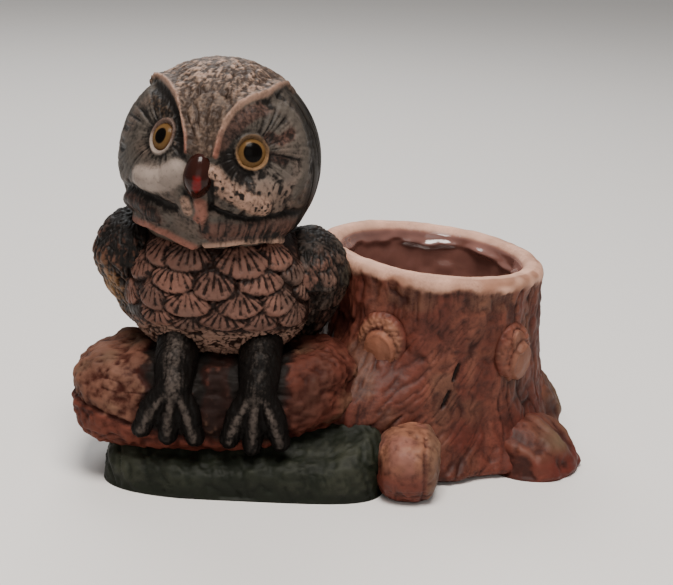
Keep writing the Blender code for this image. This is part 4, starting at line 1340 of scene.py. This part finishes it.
def make_foot(name):
    """A feathered leg and three thick toes with dark webbing, over the front of the log."""
    across, tips = FEET[name]
    ankle = LEG_STOPS[-1][1]
    runs = [([(across, *stop) for stop in LEG_STOPS], LEG_RADII)]
    for tip, height in tips:
        toe = (
            (across + 0.15 * (tip - across), TOE_DEPTHS[0], ankle),
            (across + 0.7 * (tip - across), TOE_DEPTHS[1], (ankle + height) / 2),
            (tip, TOE_DEPTHS[2], height),
        )
        runs.append((toe, TOE_RADII))
    limbs = [limb(stops, radii) for stops, radii in runs]
    balls = [joint for stops, radii in runs for joint in zip(stops, radii)]
    place, faces = fused("foot_" + name, limbs, balls)
    crest = np.zeros(len(place))
    for toe, _ in runs[1:]:
        aside = from_path(place[:, [0, 2]], [np.array((x, z)) for x, _, z in toe])
        crest = np.maximum(crest, hill(aside, 1.5 * MM))
    leg = smooth(0.034, 0.04, place[:, 2])
    shin = hill(place[:, 0] - across, 3.6 * MM)
    crest = crest * (1 - leg) + SHIN_PALENESS[name] * leg * shin
    crest *= smooth(-0.026, -0.031, place[:, 1] - 0.5 * leg * (place[:, 2] - 0.034))
    fleck = lumpy(place, 0.8, 74)
    strands = cracks_in(place, (1.3, 4, 4), 0.13, 75)
    place = pressed(place, faces, 0.9 * crest - 0.3 * strands + 0.2 * fleck)
    tipped = smooth(0.024, 0.02, place[:, 2])
    pale = 0.8 * crest * (1 - 0.5 * tipped) - 0.25 * strands + 0.9 * fleck * crest
    deep = np.multiply(SOOT, 0.5)
    show("owl_foot_" + name, "foot_paint", place, faces, FOOT_GREY, deep, pale)


# ---- stage
def find_layout_origin():
    """The layout origin in the frame, worked out from where the right eye's solid is."""
    low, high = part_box("owl_eye_right")
    middle = (np.array(low) + np.array(high)) / 2
    eye = head_place(direction(*EYE_DIRECTION)[None] * EYE_DEPTH)[0]
    origin = middle - eye
    origin[2] = 0
    return origin


def make_camera():
    """The camera, which looks down on the owl and is rolled a little."""
    ahead = np.array((0, math.cos(VIEW_PITCH), -math.sin(VIEW_PITCH)))
    place = layout_origin + VIEW_CENTRE - VIEW_DISTANCE * ahead
    data = bpy.data.cameras.new("camera")
    data.lens = LENS
    data.sensor_width = SENSOR
    camera = placed("camera", data)
    aim = Matrix.Rotation(math.pi / 2 - VIEW_PITCH, 4, "X") @ Matrix.Rotation(VIEW_ROLL, 4, "Z")
    camera.matrix_world = Matrix.Translation(place) @ aim
    bpy.context.scene.camera = camera


def area_light(name, place, size, power, colour):
    """A soft square light that faces the model."""
    data = bpy.data.lights.new(name, "AREA")
    data.shape = "SQUARE"
    data.size = size
    data.energy = power
    data.color = colour
    spot = Vector(layout_origin + place)
    aim = Vector(layout_origin + VIEW_CENTRE) - spot
    turn = aim.to_track_quat("-Z", "Y").to_matrix().to_4x4()
    placed(name, data).matrix_world = Matrix.Translation(spot) @ turn


def make_stage():
    """A pale floor, an even sky and the lights."""
    mesh = bpy.data.meshes.new("floor")
    corners = [(x * FLOOR_HALF, y * FLOOR_HALF, 0) for x, y in ((-1, -1), (1, -1), (1, 1), (-1, 1))]
    mesh.from_pydata(corners, [], [(0, 1, 2, 3)])
    material = bpy.data.materials.new("pale_floor")
    material.use_nodes = True
    shader = material.node_tree.nodes["Principled BSDF"]
    shader.inputs["Base Color"].default_value = FLOOR_COLOUR
    shader.inputs["Roughness"].default_value = FLOOR_ROUGHNESS
    mesh.materials.append(material)
    placed("floor", mesh)
    world = bpy.data.worlds.new("studio")
    bpy.context.scene.world = world
    world.use_nodes = True
    background = world.node_tree.nodes["Background"]
    background.inputs["Color"].default_value = SKY
    background.inputs["Strength"].default_value = SKY_STRENGTH
    for name, recipe in LIGHTS.items():
        area_light(name, *recipe)


layout_origin = find_layout_origin()
make_camera()
glazes = {name: glazed(name, *recipe) for name, recipe in GLAZES.items()}
make_pot()
for name in ROOTS:
    make_root(name)
for name in SCARS:
    make_scar(name)
make_log()
make_stub()
make_moss()
make_head()
for side, name in ((-1, "left"), (1, "right")):
    make_eye(side, name)
    make_wing(side, name)
    make_foot(name)
make_beak()
make_body()
make_tail()
make_stage()
